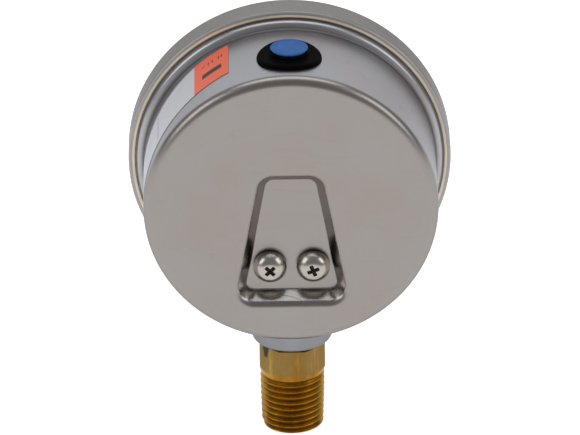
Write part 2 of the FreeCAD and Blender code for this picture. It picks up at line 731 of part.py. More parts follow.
def make_grommet():
    """Rubber grommet: outer flange, hub, neck in the wall and inner flange."""
    hub_top = DIAL_Z + PLUG_TOP - PLUG_THICK
    flange = wall_band(CASE_R, CASE_R + GROMMET_THICK, GROMMET_R)
    inner = wall_band(CASE_R - SHEET - 1.0, CASE_R - SHEET, GROMMET_HOLE_R + 1.2)
    neck = upright(GROMMET_HOLE_R, DIAL_Z + CASE_R - 2.0, DIAL_Z + CASE_R + 0.3)
    hub = upright(HUB_R, DIAL_Z + CASE_R - 0.5, hub_top)
    body = flange.fuse([inner, neck, hub])
    return body.cut(upright(PLUG_STEM_R + PIVOT_CLEARANCE, DIAL_Z, hub_top + 5))


def make_vent_plug():
    """Push-in plug with a flat round head."""
    top = DIAL_Z + PLUG_TOP
    under = top - PLUG_THICK
    head = upright(PLUG_R, under, top)
    crown = [e for e in head.Edges if abs(e.BoundBox.ZMin - top) < 1e-6]
    return head.makeFillet(0.2, crown).fuse(upright(PLUG_STEM_R, under - PLUG_STEM_LENGTH, under))


# Stickers

def make_sticker(start, end):
    """Thin curved sheet on the case wall, with slanting long sides."""
    band = rod((0, 0), CASE_R + STICKER_THICK, (-20, 20)).cut(rod((0, 0), CASE_R, (-21, 21)))
    middle = (start + end) / 2
    outline = []
    for angle, side in ((start, -1), (end, -1), (end, 1), (start, 1)):
        along = math.radians(angle - STICKER_START) * CASE_R
        y = STICKER_Y + math.tan(math.radians(STICKER_TILT)) * along + side * STICKER_WIDE / 2
        y = max(y, BEAD_Y + 1.3)
        outline.append(V(CASE_R * math.sin(math.radians(angle - middle)), y, 0))
    prism = Part.Face(Part.makePolygon(outline + outline[:1])).extrude(V(0, 0, CASE_R + 5))
    prism.rotate(V(0, 0, 0), V(0, 1, 0), middle)
    prism.translate(V(0, 0, DIAL_Z))
    return band.common(prism)


def main():
    os.makedirs("parts", exist_ok=True)
    save("case", make_case())
    save("bezel_ring", make_bezel())
    save("window", make_window())
    save("window_gasket", make_window_gasket())
    save("case_screws", make_case_screws())
    save("screw_washers", make_screw_washers())
    save("socket", make_socket())
    save("restrictor_screw", make_restrictor())
    save("neck_seal", make_neck_seal())
    save("tube_block", make_tube_block())
    save("bourdon_tube", make_bourdon_tube())
    save("tube_tip", make_tube_tip())
    save("tip_pin", make_tip_pin())
    save("link", make_link())
    save("tail_pin", make_tail_pin())
    save("pinion", make_pinion())
    save("sector_gear", make_sector_gear())
    save("sector_arbor", make_sector_arbor())
    save("pointer_arbor", make_pointer_arbor())
    save("movement_back_plate", make_back_plate())
    save("movement_front_plate", make_front_plate())
    save("movement_pillars", make_pillars())
    save("pillar_screws", make_pillar_screws())
    save("block_screws", make_block_screws())
    save("hairspring", make_hairspring())
    save("hairspring_collet", make_collet())
    save("hairspring_stud", make_stud())
    save("dial", make_dial())
    save("dial_posts", make_dial_posts())
    save("dial_screws", make_dial_screws())
    save("stop_pin", make_stop_pin())
    save("pointer", make_pointer())
    save("pointer_hub", make_pointer_hub())
    save("fill_grommet", make_grommet())
    save("vent_plug", make_vent_plug())
    save("sticker_orange", make_sticker(STICKER_START, STICKER_COLOUR_EDGE))
    save("sticker_white", make_sticker(STICKER_COLOUR_EDGE, STICKER_END))
    print("pivots from the dial's axis:", PIVOTS)


main()
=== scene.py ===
import math

import bmesh
import bpy
import numpy as np
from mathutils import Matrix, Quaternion, Vector


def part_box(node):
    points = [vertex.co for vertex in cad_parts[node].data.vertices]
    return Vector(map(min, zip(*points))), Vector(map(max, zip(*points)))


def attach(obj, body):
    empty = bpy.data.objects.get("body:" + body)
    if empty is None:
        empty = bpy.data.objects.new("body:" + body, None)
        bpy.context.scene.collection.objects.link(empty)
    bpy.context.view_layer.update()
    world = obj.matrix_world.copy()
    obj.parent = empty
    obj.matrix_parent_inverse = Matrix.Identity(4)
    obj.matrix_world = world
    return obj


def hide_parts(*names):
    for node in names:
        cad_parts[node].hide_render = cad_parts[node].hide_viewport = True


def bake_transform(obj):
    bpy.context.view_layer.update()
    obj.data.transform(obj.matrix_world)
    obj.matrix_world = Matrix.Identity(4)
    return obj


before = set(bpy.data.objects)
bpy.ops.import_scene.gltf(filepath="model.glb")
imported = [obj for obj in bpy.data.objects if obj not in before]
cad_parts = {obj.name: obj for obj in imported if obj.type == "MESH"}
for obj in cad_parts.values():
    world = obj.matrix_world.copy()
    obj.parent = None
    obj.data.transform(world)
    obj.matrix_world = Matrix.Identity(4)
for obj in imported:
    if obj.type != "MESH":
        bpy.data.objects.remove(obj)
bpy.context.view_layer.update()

bl_info = {
    "name": "Pressure gauge",
    "version": (1, 0, 0),
    "blender": (4, 5, 0),
    "location": "View3D > Sidebar > Gauge",
    "description": "Builds a 63 mm dial pressure gauge with a lower pipe thread on its packed frame",
    "category": "Object",
}

MM = 0.001
TURN = 2 * math.pi


def low(node, axis):
    """Lowest coordinate of a CAD node along an axis, in millimetres."""
    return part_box(node)[0][axis] / MM


def high(node, axis):
    """Highest coordinate of a CAD node along an axis, in millimetres."""
    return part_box(node)[1][axis] / MM


# Places read from the frame, in millimetres.
DIAL_Z = (low("bezel_ring", 2) + high("bezel_ring", 2)) / 2
BEZEL_R = (high("bezel_ring", 0) - low("bezel_ring", 0)) / 2
BEZEL_FRONT = low("bezel_ring", 1)
BEZEL_REAR = high("bezel_ring", 1)
FLANGE_FRONT = low("case", 1)
FLANGE_R = high("case", 0)
BACK = high("case", 1)
BOSS_FLAT = low("case", 2)
NECK_HALF = high("neck_seal", 0)
NECK_TOP = low("neck_seal", 2)
GROMMET_R = high("fill_grommet", 0)
PLUG_R = high("vent_plug", 0)
PLUG_TOP = high("vent_plug", 2)
PLUG_LOW = low("vent_plug", 2)
SCREW_TOP = high("case_screws", 1)
SCREW_Z = (low("case_screws", 2) + high("case_screws", 2)) / 2 - DIAL_Z
SCREW_R = (high("case_screws", 2) - low("case_screws", 2)) / 2
SCREW_X = high("case_screws", 0) - SCREW_R
DIAL_FRONT = low("dial", 1)
WINDOW_FRONT = low("window", 1)

# Fine teeth in the crimp, counted round the ring, and how far their sine is turned.
TEETH = 480
TOOTH_PHASE = 0.3

# The dial's scale, in degrees from three o'clock.
SCALE_START = 225.0
SCALE_SWEEP = 270.0
SCALE_R = 26.0
NUMBERS = 10
STROKES = 5 * NUMBERS


# Properties ---------------------------------------------------------------

def length(name, description, default):
    """A length in millimetres."""
    return bpy.props.FloatProperty(name=name, description=description, default=default, precision=3)


def colour(name, description, default):
    """A linear colour."""
    return bpy.props.FloatVectorProperty(
        name=name, description=description, subtype="COLOR", size=3, min=0.0, max=1.0, default=default)


class CaseShape(bpy.types.PropertyGroup):
    """Sizes of the drawn case and the rolled bezel."""

    wall_r: length("Wall radius", "Outer radius of the case wall", 31.0)
    sheet: length("Sheet", "Thickness of the sheet", 0.5)
    corner_r: length("Back corner", "Round between the back and the wall", 2.2)
    bead_r: length("Bead radius", "Outer radius of the bead beside the bezel", 32.6)
    bead_y: length("Bead place", "Where the wall steps out to the bead", -13.15)
    recess_depth: length("Recess depth", "How deep the back is stamped", 3.2)
    recess_slope: length("Recess slope", "How far the recess wall leans over its depth", 2.2)
    recess_floor_round: length("Recess floor round", "Round at the foot of the recess wall", 0.5)
    recess_round: length("Recess rim round", "Round at the rim of the recess wall", 1.9)
    boss_r: length("Boss radius", "Radius of the stamped boss where it leaves the wall", 8.6)
    boss_round: length("Boss round", "Round of the boss under the seal", 1.3)
    bezel_round: length("Bezel round", "Round of the bezel's front edge", 3.0)
    bezel_opening_r: length("Bezel opening", "Radius of the clear view", 29.4)


class StemShape(bpy.types.PropertyGroup):
    """Sizes of the pipe thread and the neck."""

    pitch: length("Pitch", "Thread pitch", 25.4 / 18)
    end_r: length("End radius", "Crest radius at the lower end", 6.55)
    bar_r: length("Bar radius", "Radius of the bar before the thread is cut", 6.85)
    taper: bpy.props.FloatProperty(name="Taper", description="Growth of the radius along the thread",
                                   default=1 / 32, precision=5)
    thread_top: length("Thread length", "Where the thread ends under the neck", 13.0)


class Paint(bpy.types.PropertyGroup):
    """Colours of the finishes."""

    steel: colour("Steel", "Satin stainless steel of the back", (0.277, 0.257, 0.243))
    # Painted reflection: the back's steel made cooler and brighter for the bluish light the wall shows
    wall: colour("Wall", "The same steel on the wall, which looks cooler", (0.345, 0.350, 0.366))
    band: colour("Band", "Steel of the rolled bezel", (0.262, 0.256, 0.250))
    # Painted highlight: warm pale light on the inner edge of the bezel's rear face
    lip: colour("Lip", "Warm edge of the rolled bezel", (0.95, 0.80, 0.62))
    zinc: colour("Zinc", "Plating of the screws", (0.42, 0.39, 0.35))
    brass: colour("Brass", "Machined brass of the neck", (0.225, 0.145, 0.045))
    thread: colour("Thread", "Brass of the thread, which has darkened", (0.42, 0.205, 0.009))
    brass_dark: colour("Tarnish", "Tarnish in the thread roots", (0.075, 0.024, 0.004))
    plug: colour("Plug", "Moulded plug", (0.018, 0.105, 0.335))
    rubber: colour("Rubber", "Black rubber", (0.002, 0.002, 0.0025))
    orange: colour("Orange", "Orange print of the sticker", (0.80, 0.150, 0.088))
    white: colour("White", "White film of the sticker", (0.52, 0.525, 0.55))
    enamel: colour("Enamel", "Dial enamel", (0.86, 0.86, 0.83))


class StageLook(bpy.types.PropertyGroup):
    """Camera and light."""

    distance: bpy.props.FloatProperty(
        name="Distance", description="From the bezel's middle to the camera", default=1.469, unit="LENGTH")
    azimuth: bpy.props.FloatProperty(
        name="Azimuth", description="Turn of the camera off the back's normal",
        default=math.radians(0.428), subtype="ANGLE")
    elevation: bpy.props.FloatProperty(
        name="Elevation", description="Height of the camera over the level",
        default=math.radians(26.483), subtype="ANGLE")
    roll: bpy.props.FloatProperty(name="Roll", description="Lean of the camera",
                                  default=math.radians(-0.595), subtype="ANGLE")
    aim: bpy.props.FloatVectorProperty(name="Aim", description="Point in the middle of the picture",
                                       default=(0.00014, -0.004515, 0.0464), precision=5, unit="LENGTH")
    focal: bpy.props.FloatProperty(name="Lens", description="Focal length in millimetres", default=430.1)
    world: bpy.props.FloatProperty(name="Room light", description="Strength of the even light",
                                   default=0.30)


GROUPS = {"gauge_case": CaseShape, "gauge_stem": StemShape, "gauge_paint": Paint,
          "gauge_stage": StageLook}


# Shapes -------------------------------------------------------------------

def rounded(corners, steps=8):
    """Open outline through corners (u, v, r): each corner becomes an arc of radius r.

    The arc starts r / tan(half the corner's angle) before the corner, and its points are the
    centre plus r times the unit vectors turned evenly from the first normal to the second.
    """
    points = []
    last = len(corners) - 1
    for i, (u, v, r) in enumerate(corners):
        here = np.array((u, v), float)
        if r == 0 or i in (0, last):
            points.append(here)
            continue
        before = np.array(corners[i - 1][:2]) - here
        after = np.array(corners[i + 1][:2]) - here
        before /= np.linalg.norm(before)
        after /= np.linalg.norm(after)
        half = math.acos(float(np.clip(before @ after, -1, 1))) / 2
        bisector = (before + after) / np.linalg.norm(before + after)
        centre = here + bisector * r / math.sin(half)
        start = here + before * r / math.tan(half) - centre
        end = here + after * r / math.tan(half) - centre
        sweep = math.pi - 2 * half
        t = np.linspace(0, 1, steps + 1)[:, None]
        arc = (np.sin((1 - t) * sweep) * start + np.sin(t * sweep) * end) / math.sin(sweep)
        points.extend(centre + arc)
    return np.array(points)


def fine(outline, gap):
    """The same open outline, with its long runs divided so that no step is longer than gap."""
    steps = np.maximum(1, np.ceil(np.linalg.norm(np.diff(outline, axis=0), axis=1) / gap).astype(int))
    parts = [a + (b - a) * np.linspace(0, 1, n, endpoint=False)[:, None]
             for a, b, n in zip(outline[:-1], outline[1:], steps)]
    return np.vstack(parts + [outline[-1:]])


def about_dial(profile, columns, x=0.0, z=DIAL_Z):
    """Grid: a (radius, y) profile turned about an axis along y, which is the dial's if not given.

    Point = (x + r cos a, y, z + r sin a).
    """
    angle = np.linspace(0, TURN, columns, endpoint=False)[None, :]
    r, y = profile[:, :1], profile[:, 1:]
    return np.stack([x + r * np.cos(angle), y + 0 * angle, z + r * np.sin(angle)], axis=-1)


def about_stem(profile, columns):
    """Grid: a (radius, z) profile turned about the stem's axis; point = (r cos a, r sin a, z)."""
    angle = np.linspace(0, TURN, columns, endpoint=False)[None, :]
    r, z = profile[:, :1], profile[:, 1:]
    return np.stack([r * np.cos(angle), r * np.sin(angle), z + 0 * angle], axis=-1)


def grid_faces(rows, columns, closed):
    """Quads of a grid whose columns close into a ring, and whose rows do too where closed is true."""
    i = np.arange(rows if closed else rows - 1)[:, None]
    j = np.arange(columns)[None, :]
    below, right = (i + 1) % rows, (j + 1) % columns
    quads = [i * columns + j, i * columns + right, below * columns + right, below * columns + j]
    return np.stack(np.broadcast_arrays(*quads), axis=-1).reshape(-1, 4)


def piece(name, grids, material, body, replaces=(), closed=False, sharp=35.0, attributes=None):
    """One mesh from one or more grids in millimetres, with faces outwards and smooth between edges.

    An open grid gets a fan at each end, about the middle of its last ring. Where the ring is a
    point already, the fan shrinks to nothing when doubles are merged.
    """
    points, quads, fans, start = [], [], [], 0
    for grid in grids:
        rows, columns = grid.shape[:2]
        points.append(grid.reshape(-1, 3))
        quads.append(grid_faces(rows, columns, closed) + start)
        if not closed:
            for row, flip in ((0, False), (rows - 1, True)):
                ring = start + row * columns + np.arange(columns)
                centre = start + rows * columns + (1 if flip else 0)
                first, second = (np.roll(ring, -1), ring) if not flip else (ring, np.roll(ring, -1))
                fans.append(np.stack([np.full(columns, centre), first, second], axis=-1))
            points.append(np.stack([grid[0].mean(axis=0), grid[-1].mean(axis=0)]))
            start += 2
        start += rows * columns
    points = np.vstack(points)
    mesh = bpy.data.meshes.new(name)
    faces = [tuple(q) for q in np.vstack(quads).tolist()]
    if fans:
        faces += [tuple(f) for f in np.vstack(fans).tolist()]
    mesh.from_pydata((points * MM).tolist(), [], faces)
    thing = bpy.data.objects.new(name, mesh)
    bpy.context.scene.collection.objects.link(thing)
    if attributes:
        for key, values in attributes.items():
            layer = mesh.attributes.new(key, "FLOAT", "POINT")
            padded = np.zeros(len(points))
            padded[:len(values)] = values
            layer.data.foreach_set("value", padded)
    tidy_mesh(thing, sharp)
    mesh.materials.append(material)
    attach(thing, body)
    if replaces:
        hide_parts(*replaces)
    return thing


def tidy_mesh(thing, sharp):
    """Merges doubles, turns the faces outwards and shades smooth up to the sharp angle."""
    work = bmesh.new()
    work.from_mesh(thing.data)
    bmesh.ops.remove_doubles(work, verts=work.verts, dist=2e-7)
    bmesh.ops.recalc_face_normals(work, faces=work.faces)
    work.to_mesh(thing.data)
    work.free()
    thing.data.set_sharp_from_angle(angle=math.radians(sharp))


# Case

def recess_outline(centre_z, columns):
    """Points and outward normals of the recess outline, a trapezoid with rounded corners.

    The rounded outline is walked by its length, more densely in the corners, and each normal
    is the tangent turned by a right angle.
    """
    top, bottom, half_top, half_bottom, r = 7.2, -20.8, 6.0, 11.2, 2.9
    corners = [(0, top, 0), (half_top, top, r), (half_bottom, bottom, r),
               (-half_bottom, bottom, r), (-half_top, top, r), (0, top, 0)]
    path = fine(rounded(corners, 24), 0.35)
    step = np.linalg.norm(np.diff(path, axis=0), axis=1)
    run = np.concatenate([[0], np.cumsum(step)])
    even = np.linspace(0, run[-1], columns, endpoint=False)
    points = np.stack([np.interp(even, run, path[:, k]) for k in (0, 1)], axis=-1)
    tangent = np.roll(points, -1, axis=0) - np.roll(points, 1, axis=0)
    for _ in range(3):
        tangent = (np.roll(tangent, 1, axis=0) + 2 * tangent + np.roll(tangent, -1, axis=0)) / 4
    tangent /= np.linalg.norm(tangent, axis=1)[:, None]
    normal = np.stack([-tangent[:, 1], tangent[:, 0]], axis=-1)
    outward = np.sign(np.sum(normal * (points - (0, centre_z)), axis=1))[:, None]
    return points, normal * outward


def stamped_rows(inset, columns, wall_profile, back_y, depth, back_r, across):
    """Rows of the stamped back and the wall behind it, from the recess floor's middle outwards.

    The recess wall is the outline moved along its normals by d while y follows a slope with a
    small round at the floor and a wide one at the rim. Then flat rows blend the rim into a
    circle, and circles follow the wall's profile.
    """
    case = bpy.context.scene.gauge_case
    centre_z = -8.0
    points, normal = recess_outline(centre_z, columns)
    middle = np.array((0.0, centre_z))
    floor_y = back_y - depth
    section = rounded([(-4.0, 0.0, 0), (-case.recess_slope / 2, 0.0, case.recess_floor_round),
                       (case.recess_slope / 2, depth, case.recess_round), (6.0, depth, 0)], across)[1:-1]
    rows = []
    inner = points + normal * (section[0, 0] + inset)
    for part in np.linspace(0.0, 0.96, 7):
        rows.append((middle + (inner - middle) * part, floor_y))
    for d, rise in section:
        rows.append((points + normal * (d + inset), floor_y + rise))
    rim = points + normal * (section[-1, 0] + inset)
    angle = np.arctan2(rim[:, 1], rim[:, 0])
    circle = np.stack([np.cos(angle), np.sin(angle)], axis=-1)
    for part in np.linspace(0.04, 0.97, 10):
        rows.append((rim + (circle * back_r - rim) * part, back_y))
    for radius, y in wall_profile:
        rows.append((circle * radius, y))
    return [np.stack([p[:, 0], np.full(columns, y), DIAL_Z + p[:, 1]], axis=-1) for p, y in rows]


def case_profile(inset):
    """(radius, y) of the case from the back's edge to the flange, moved inwards by inset.

    The wall steps out to the bead over a short slant, whose two ends are rounded.
    """
    case = bpy.context.scene.gauge_case
    wall, bead = case.wall_r - inset, case.bead_r - inset
    drop = 0.7
    slant = math.atan2(drop, case.bead_r - case.wall_r)
    step = case.bead_y - inset * (1 - math.sin(slant)) / math.cos(slant)
    corners = [(wall - case.corner_r + inset - 0.01, BACK - inset, 0),
               (wall, BACK - inset, case.corner_r - inset),
               (wall, step, 0.7 + inset), (bead, step - drop, 1.4 - inset)]
    if inset:
        corners += [(bead, FLANGE_FRONT, 0)]
    else:
        corners += [(bead, FLANGE_FRONT + 0.5, 0.2), (FLANGE_R, FLANGE_FRONT + 0.5, 0.1),
                    (FLANGE_R, FLANGE_FRONT, 0)]
    return fine(rounded(corners, 12), 1.2)


def case_grid(columns=420):
    """Outer rows from the recess to the flange, then inner rows back to the recess."""
    case = bpy.context.scene.gauge_case
    outer = stamped_rows(0.0, columns, case_profile(0.0), BACK, case.recess_depth,
                         case.wall_r - case.corner_r, 12)
    inner = stamped_rows(case.sheet, columns, case_profile(case.sheet), BACK - case.sheet,
                         case.recess_depth, case.wall_r - case.corner_r, 4)
    return np.stack(outer + inner[::-1])


def boss_grid(columns=160):
    """The stamped boss: a bowl about the stem that runs into the case wall.

    Height = smooth minimum of the wall's height and the bowl's height at a distance from the
    stem's axis. The bowl is flat where the seal sits, then a quarter circle, then steep. The
    smooth minimum is min(a, b) - k h^2 / 4 with h = max(0, 1 - |a - b| / k).
    """
    case = bpy.context.scene.gauge_case
    hole_r, steep, k, proud = 5.9, 14, 0.7, 0.012
    angle = np.linspace(0, TURN, columns, endpoint=False)[None, :]
    rho = np.concatenate([np.linspace(hole_r, hole_r + 1.0, 4), np.linspace(7.0, case.boss_r, 30),
                          np.linspace(case.boss_r + 0.06, case.boss_r + 1.5, 14)])[:, None]
    x, y = rho * np.cos(angle), rho * np.sin(angle)
    past = np.clip(y - (BACK - case.corner_r), 0, case.corner_r * 0.999)
    radius = case.wall_r - case.corner_r + np.sqrt(case.corner_r ** 2 - past ** 2)
    wall = DIAL_Z - np.sqrt(np.maximum(radius ** 2 - x ** 2, 0))
    bend = case.boss_round
    into = np.clip((rho - (case.boss_r - bend)) / bend, 0, 0.9999) + 0 * angle
    bowl = BOSS_FLAT + bend * (1 - np.sqrt(1 - into ** 2))
    bowl = bowl + np.maximum(rho - case.boss_r, 0) * steep
    h = np.maximum(1 - np.abs(wall - bowl) / k, 0)
    outside = np.minimum(wall, bowl) - k * h * h / 4 - proud
    y = np.minimum(y, BACK - 0.02)
    outer = np.stack([x, y, outside], axis=-1)
    inside = np.stack([x, y, outside + case.sheet * 0.8], axis=-1)
    return np.concatenate([outer, inside[::-1]])


def knurl_grid():
    """Fine teeth in the gap beside the bezel: radius = crest + depth times the sign of a sine."""
    case = bpy.context.scene.gauge_case
    columns = 4 * TEETH
    angle = np.linspace(0, TURN, columns, endpoint=False)
    tooth = 0.13 * np.sign(np.sin(angle * TEETH + TOOTH_PHASE))
    foot, crest = case.bead_r - 0.1, case.bead_r + 0.14
    front, rear = BEZEL_REAR - 0.5, BEZEL_REAR - 0.08
    rows = []
    for radius, y, cut in ((foot, front, 0.0), (crest, front, tooth),
                           (crest, rear, tooth), (foot, rear, 0.0)):
        r = radius + cut
        rows.append(np.stack([r * np.cos(angle), y + 0 * angle, DIAL_Z + r * np.sin(angle)], axis=-1))
    return np.stack(rows)


def bezel_grid():
    """The rolled bezel ring: a closed sheet profile turned about the dial's axis.

    The profile starts in the middle of the band and runs round the front to the clear view,
    back along the inside of the sheet, and round the rear lip to its start.
    """
    case = bpy.context.scene.gauge_case
    sheet, lip_sheet, middle = 0.6, 0.5, -19.0
    inner = BEZEL_R - sheet
    opening = case.bezel_opening_r
    lip_r = case.bead_r + 0.3
    corners = [(BEZEL_R, middle, 0), (BEZEL_R, BEZEL_FRONT, case.bezel_round),
               (opening, BEZEL_FRONT, 1.3), (opening, WINDOW_FRONT, 0.15),
               (opening + sheet, WINDOW_FRONT, 0.15), (opening + sheet, BEZEL_FRONT + sheet, 0.7),
               (inner, BEZEL_FRONT + sheet, case.bezel_round - sheet),
               (inner, BEZEL_REAR - lip_sheet, 0.1), (lip_r, BEZEL_REAR - lip_sheet, 0.2),
               (lip_r, BEZEL_REAR, 0.2), (BEZEL_R, BEZEL_REAR, 0.4), (BEZEL_R, middle, 0)]
    return about_dial(fine(rounded(corners, 10), 1.5)[:-1], 360)


# Fasteners, stem and plug

def pan_head_grid(x, turn, columns=144):
    """A pan head with a cross recess sunk in its crown.

    The crown follows y = top - drop (r / R)^3.4. The recess lowers it by a depth that grows
    towards the middle and fades out past a cross of two bars, where the distance to the cross
    is the least of the two bars' box distances.
    """
    head_h, head_r, shank_r, drop = 2.75, 3.5, 1.7, 1.9
    arm, half_bar, fade = 1.12, 0.2, 0.2
    under = SCREW_TOP - head_h
    radial = np.concatenate([np.linspace(0, 2.4, 44), np.linspace(2.45, head_r, 16)])
    angle = np.linspace(0, TURN, columns, endpoint=False)[None, :]
    r = radial[:, None]
    u, v = r * np.cos(angle - turn), r * np.sin(angle - turn)
    bars = [np.hypot(np.maximum(np.abs(a) - arm, 0), np.maximum(np.abs(b) - half_bar, 0))
            for a, b in ((u, v), (v, u))]
    middle = np.clip(1 - np.hypot(u, v) / 1.6, 0, 1)
    sunk = np.clip(1 - np.minimum(*bars) / fade, 0, 1) ** 0.8 * (0.75 + 0.7 * middle)
    dome = drop * (radial / SCREW_R) ** 3.4
    top = SCREW_TOP - dome[:, None] - sunk
    crown = np.stack([x + r * np.cos(angle), top, DIAL_Z + SCREW_Z + r * np.sin(angle)], axis=-1)
    below = np.array([(head_r, SCREW_TOP - 2.0), (head_r, under + 0.12), (head_r - 0.1, under),
                      (shank_r, under), (shank_r, under - 5.0)])
    return np.concatenate([crown, about_dial(below, columns, x, DIAL_Z + SCREW_Z)])


def thread_grid(columns=160):
    """The pipe thread in one grid about the stem, and how deep each point lies in its groove.

    Radius = crest radius at that height minus a V groove, whose depth at height z and angle a
    comes from how far z - pitch a / turn is from the next groove's middle, in pitches. Crests
    and roots are flattened by a clip, the lower end is chamfered, and the groove fades out
    under the neck.
    """
    stem = bpy.context.scene.gauge_stem
    angle = np.linspace(0, TURN, columns, endpoint=False)[None, :]
    z = np.linspace(0, stem.thread_top + 0.9, 300)[:, None]
    half_pitch, deepest, chamfer = 0.5 * stem.pitch, 0.92, 0.42
    cone = stem.end_r + stem.taper * z
    crest = np.minimum(np.minimum(cone, stem.bar_r), stem.end_r - chamfer + z)
    phase = (z / stem.pitch - angle / TURN) % 1.0
    away = np.abs(phase - 0.5) * 2
    depth = half_pitch * np.clip(1.25 * (1 - away) - 0.14, 0, deepest)
    fade = np.clip((stem.thread_top - z) / 1.2, 0, 1) ** 0.6
    # The root follows the cone alone, so grooves don't deepen where the bar limits the crest.
    root = cone - half_pitch * deepest - 0.12
    radius = np.maximum(crest - depth * fade * 1.15, np.minimum(root, crest))
    wall = np.stack([radius * np.cos(angle), radius * np.sin(angle), z + 0 * angle], axis=-1)
    groove = ((crest - radius) / 0.7 * np.ones_like(angle)).ravel()
    return wall, groove


def neck_grid(columns=256):
    """The eight sided neck above the thread.

    Radius = the smaller of the octagon's radius at that angle and the turned cone's radius at
    that height, so that the cone cuts the curved edges under each flat. The corners are turned
    off a little.
    """
    stem = bpy.context.scene.gauge_stem
    foot, eighth, turned_off = stem.thread_top + 0.25, TURN / 8, 0.10
    angle = np.linspace(0, TURN, columns, endpoint=False)[None, :]
    z = np.concatenate([np.linspace(foot, stem.thread_top + 2.4, 34),
                        np.linspace(stem.thread_top + 2.8, NECK_TOP - 0.12, 10), [NECK_TOP]])[:, None]
    off = (angle + eighth / 2) % eighth - eighth / 2
    flats = np.minimum(NECK_HALF / np.cos(off), NECK_HALF / math.cos(eighth / 2) - turned_off)
    cone = stem.bar_r + np.clip(z - stem.thread_top - 0.25, 0, None) * 0.42 / 0.9
    radius = np.minimum(flats, cone)
    radius[-1] -= 0.1
    return np.stack([radius * np.cos(angle), radius * np.sin(angle), z + 0 * angle], axis=-1)


def grommet_grid():
    """The flange of the fill grommet, laid on the round case wall.

    Height = the wall's height at that x plus a thickness that rises with a soft edge from the
    flange's rim and dips slightly towards the hub.
    """
    case = bpy.context.scene.gauge_case
    hole_r, soft_edge = 2.2, 0.55
    angle = np.linspace(0, TURN, 128, endpoint=False)[None, :]

    def on_wall(rho, thick):
        x, y = rho * np.cos(angle), rho * np.sin(angle)
        return np.stack([x, y, DIAL_Z + np.sqrt(case.wall_r ** 2 - x ** 2) + thick], axis=-1)

    soft = np.linspace(0, math.pi / 2, 9)
    rho = np.concatenate([[hole_r, 3.9, 4.4, 5.0, 5.5], GROMMET_R - soft_edge + soft_edge * np.sin(soft)])
    thick = np.concatenate([[1.0, 1.0, 0.92, 0.88, 0.9], 0.35 + 0.6 * np.cos(soft)])
    foot, under = np.array([[GROMMET_R]]), np.array([[hole_r]])
    top = on_wall(rho[:, None], thick[:, None])
    return np.concatenate([top, on_wall(foot, 0.01), on_wall(under, -1.5)])


def sticker_grid(start, end, rows=64):
    """A thin film on the case wall between two angles from the top, with slanting long sides.

    The middle line's y grows with the tangent of the tilt times the distance round the wall,
    and the film is cut off before it reaches the bead. Also gives each row's distance round
    the wall and each column's place across the film, from -1 to 1.
    """
    case = bpy.context.scene.gauge_case
    first, tilt, wide, middle, cut_y, lift = 24.2, math.radians(11.5), 13.4, -4.9, -11.4, 0.11
    angle = np.radians(np.linspace(start, end, rows))[:, None]
    along = (angle - math.radians(first)) * case.wall_r
    side = np.linspace(-1, 1, 40)[None, :]
    y = np.maximum(middle + math.tan(tilt) * along + side * wide / 2, cut_y - 0.02 * (1 - side))
    top, under = [np.stack([r * np.sin(angle) + 0 * y, y, DIAL_Z + r * np.cos(angle) + 0 * y], axis=-1)
                  for r in (case.wall_r + lift, case.wall_r + 0.01)]
    return np.concatenate([top, under[:, ::-1]], axis=1), along.ravel(), side


# Materials ----------------------------------------------------------------

class Value:
    """A shader socket. Python operators on it add Math nodes to its tree."""

    def __init__(self, tree, socket):
        self.tree = tree
        self.socket = socket

    def math(self, operation, *others):
        return self.tree.node("Math", {"operation": operation}, self, *others)

    def __add__(self, other):
        return self.math("ADD", other)

    __radd__ = __add__

    def __mul__(self, other):
        return self.math("MULTIPLY", other)

    __rmul__ = __mul__

    def __sub__(self, other):
        return self.math("SUBTRACT", other)

    def __rsub__(self, other):
        return self.tree.node("Math", {"operation": "SUBTRACT"}, other, self)

    def __truediv__(self, other):
        return self.math("DIVIDE", other)

    def __pow__(self, other):
        return self.math("POWER", other)

    def __abs__(self):
        return self.math("ABSOLUTE")

    def sine(self):
        return self.math("SINE")

    def clip(self):
        return self.tree.node("Clamp", {}, self)

    def above(self, edge, slope):
        """0 up to the edge, then rising with the slope to 1."""
        return ((self - edge) * slope).clip()

    def below(self, edge, slope):
        """0 past the edge, and rising with the slope to 1 as the value falls under it."""
        return ((edge - self) * slope).clip()


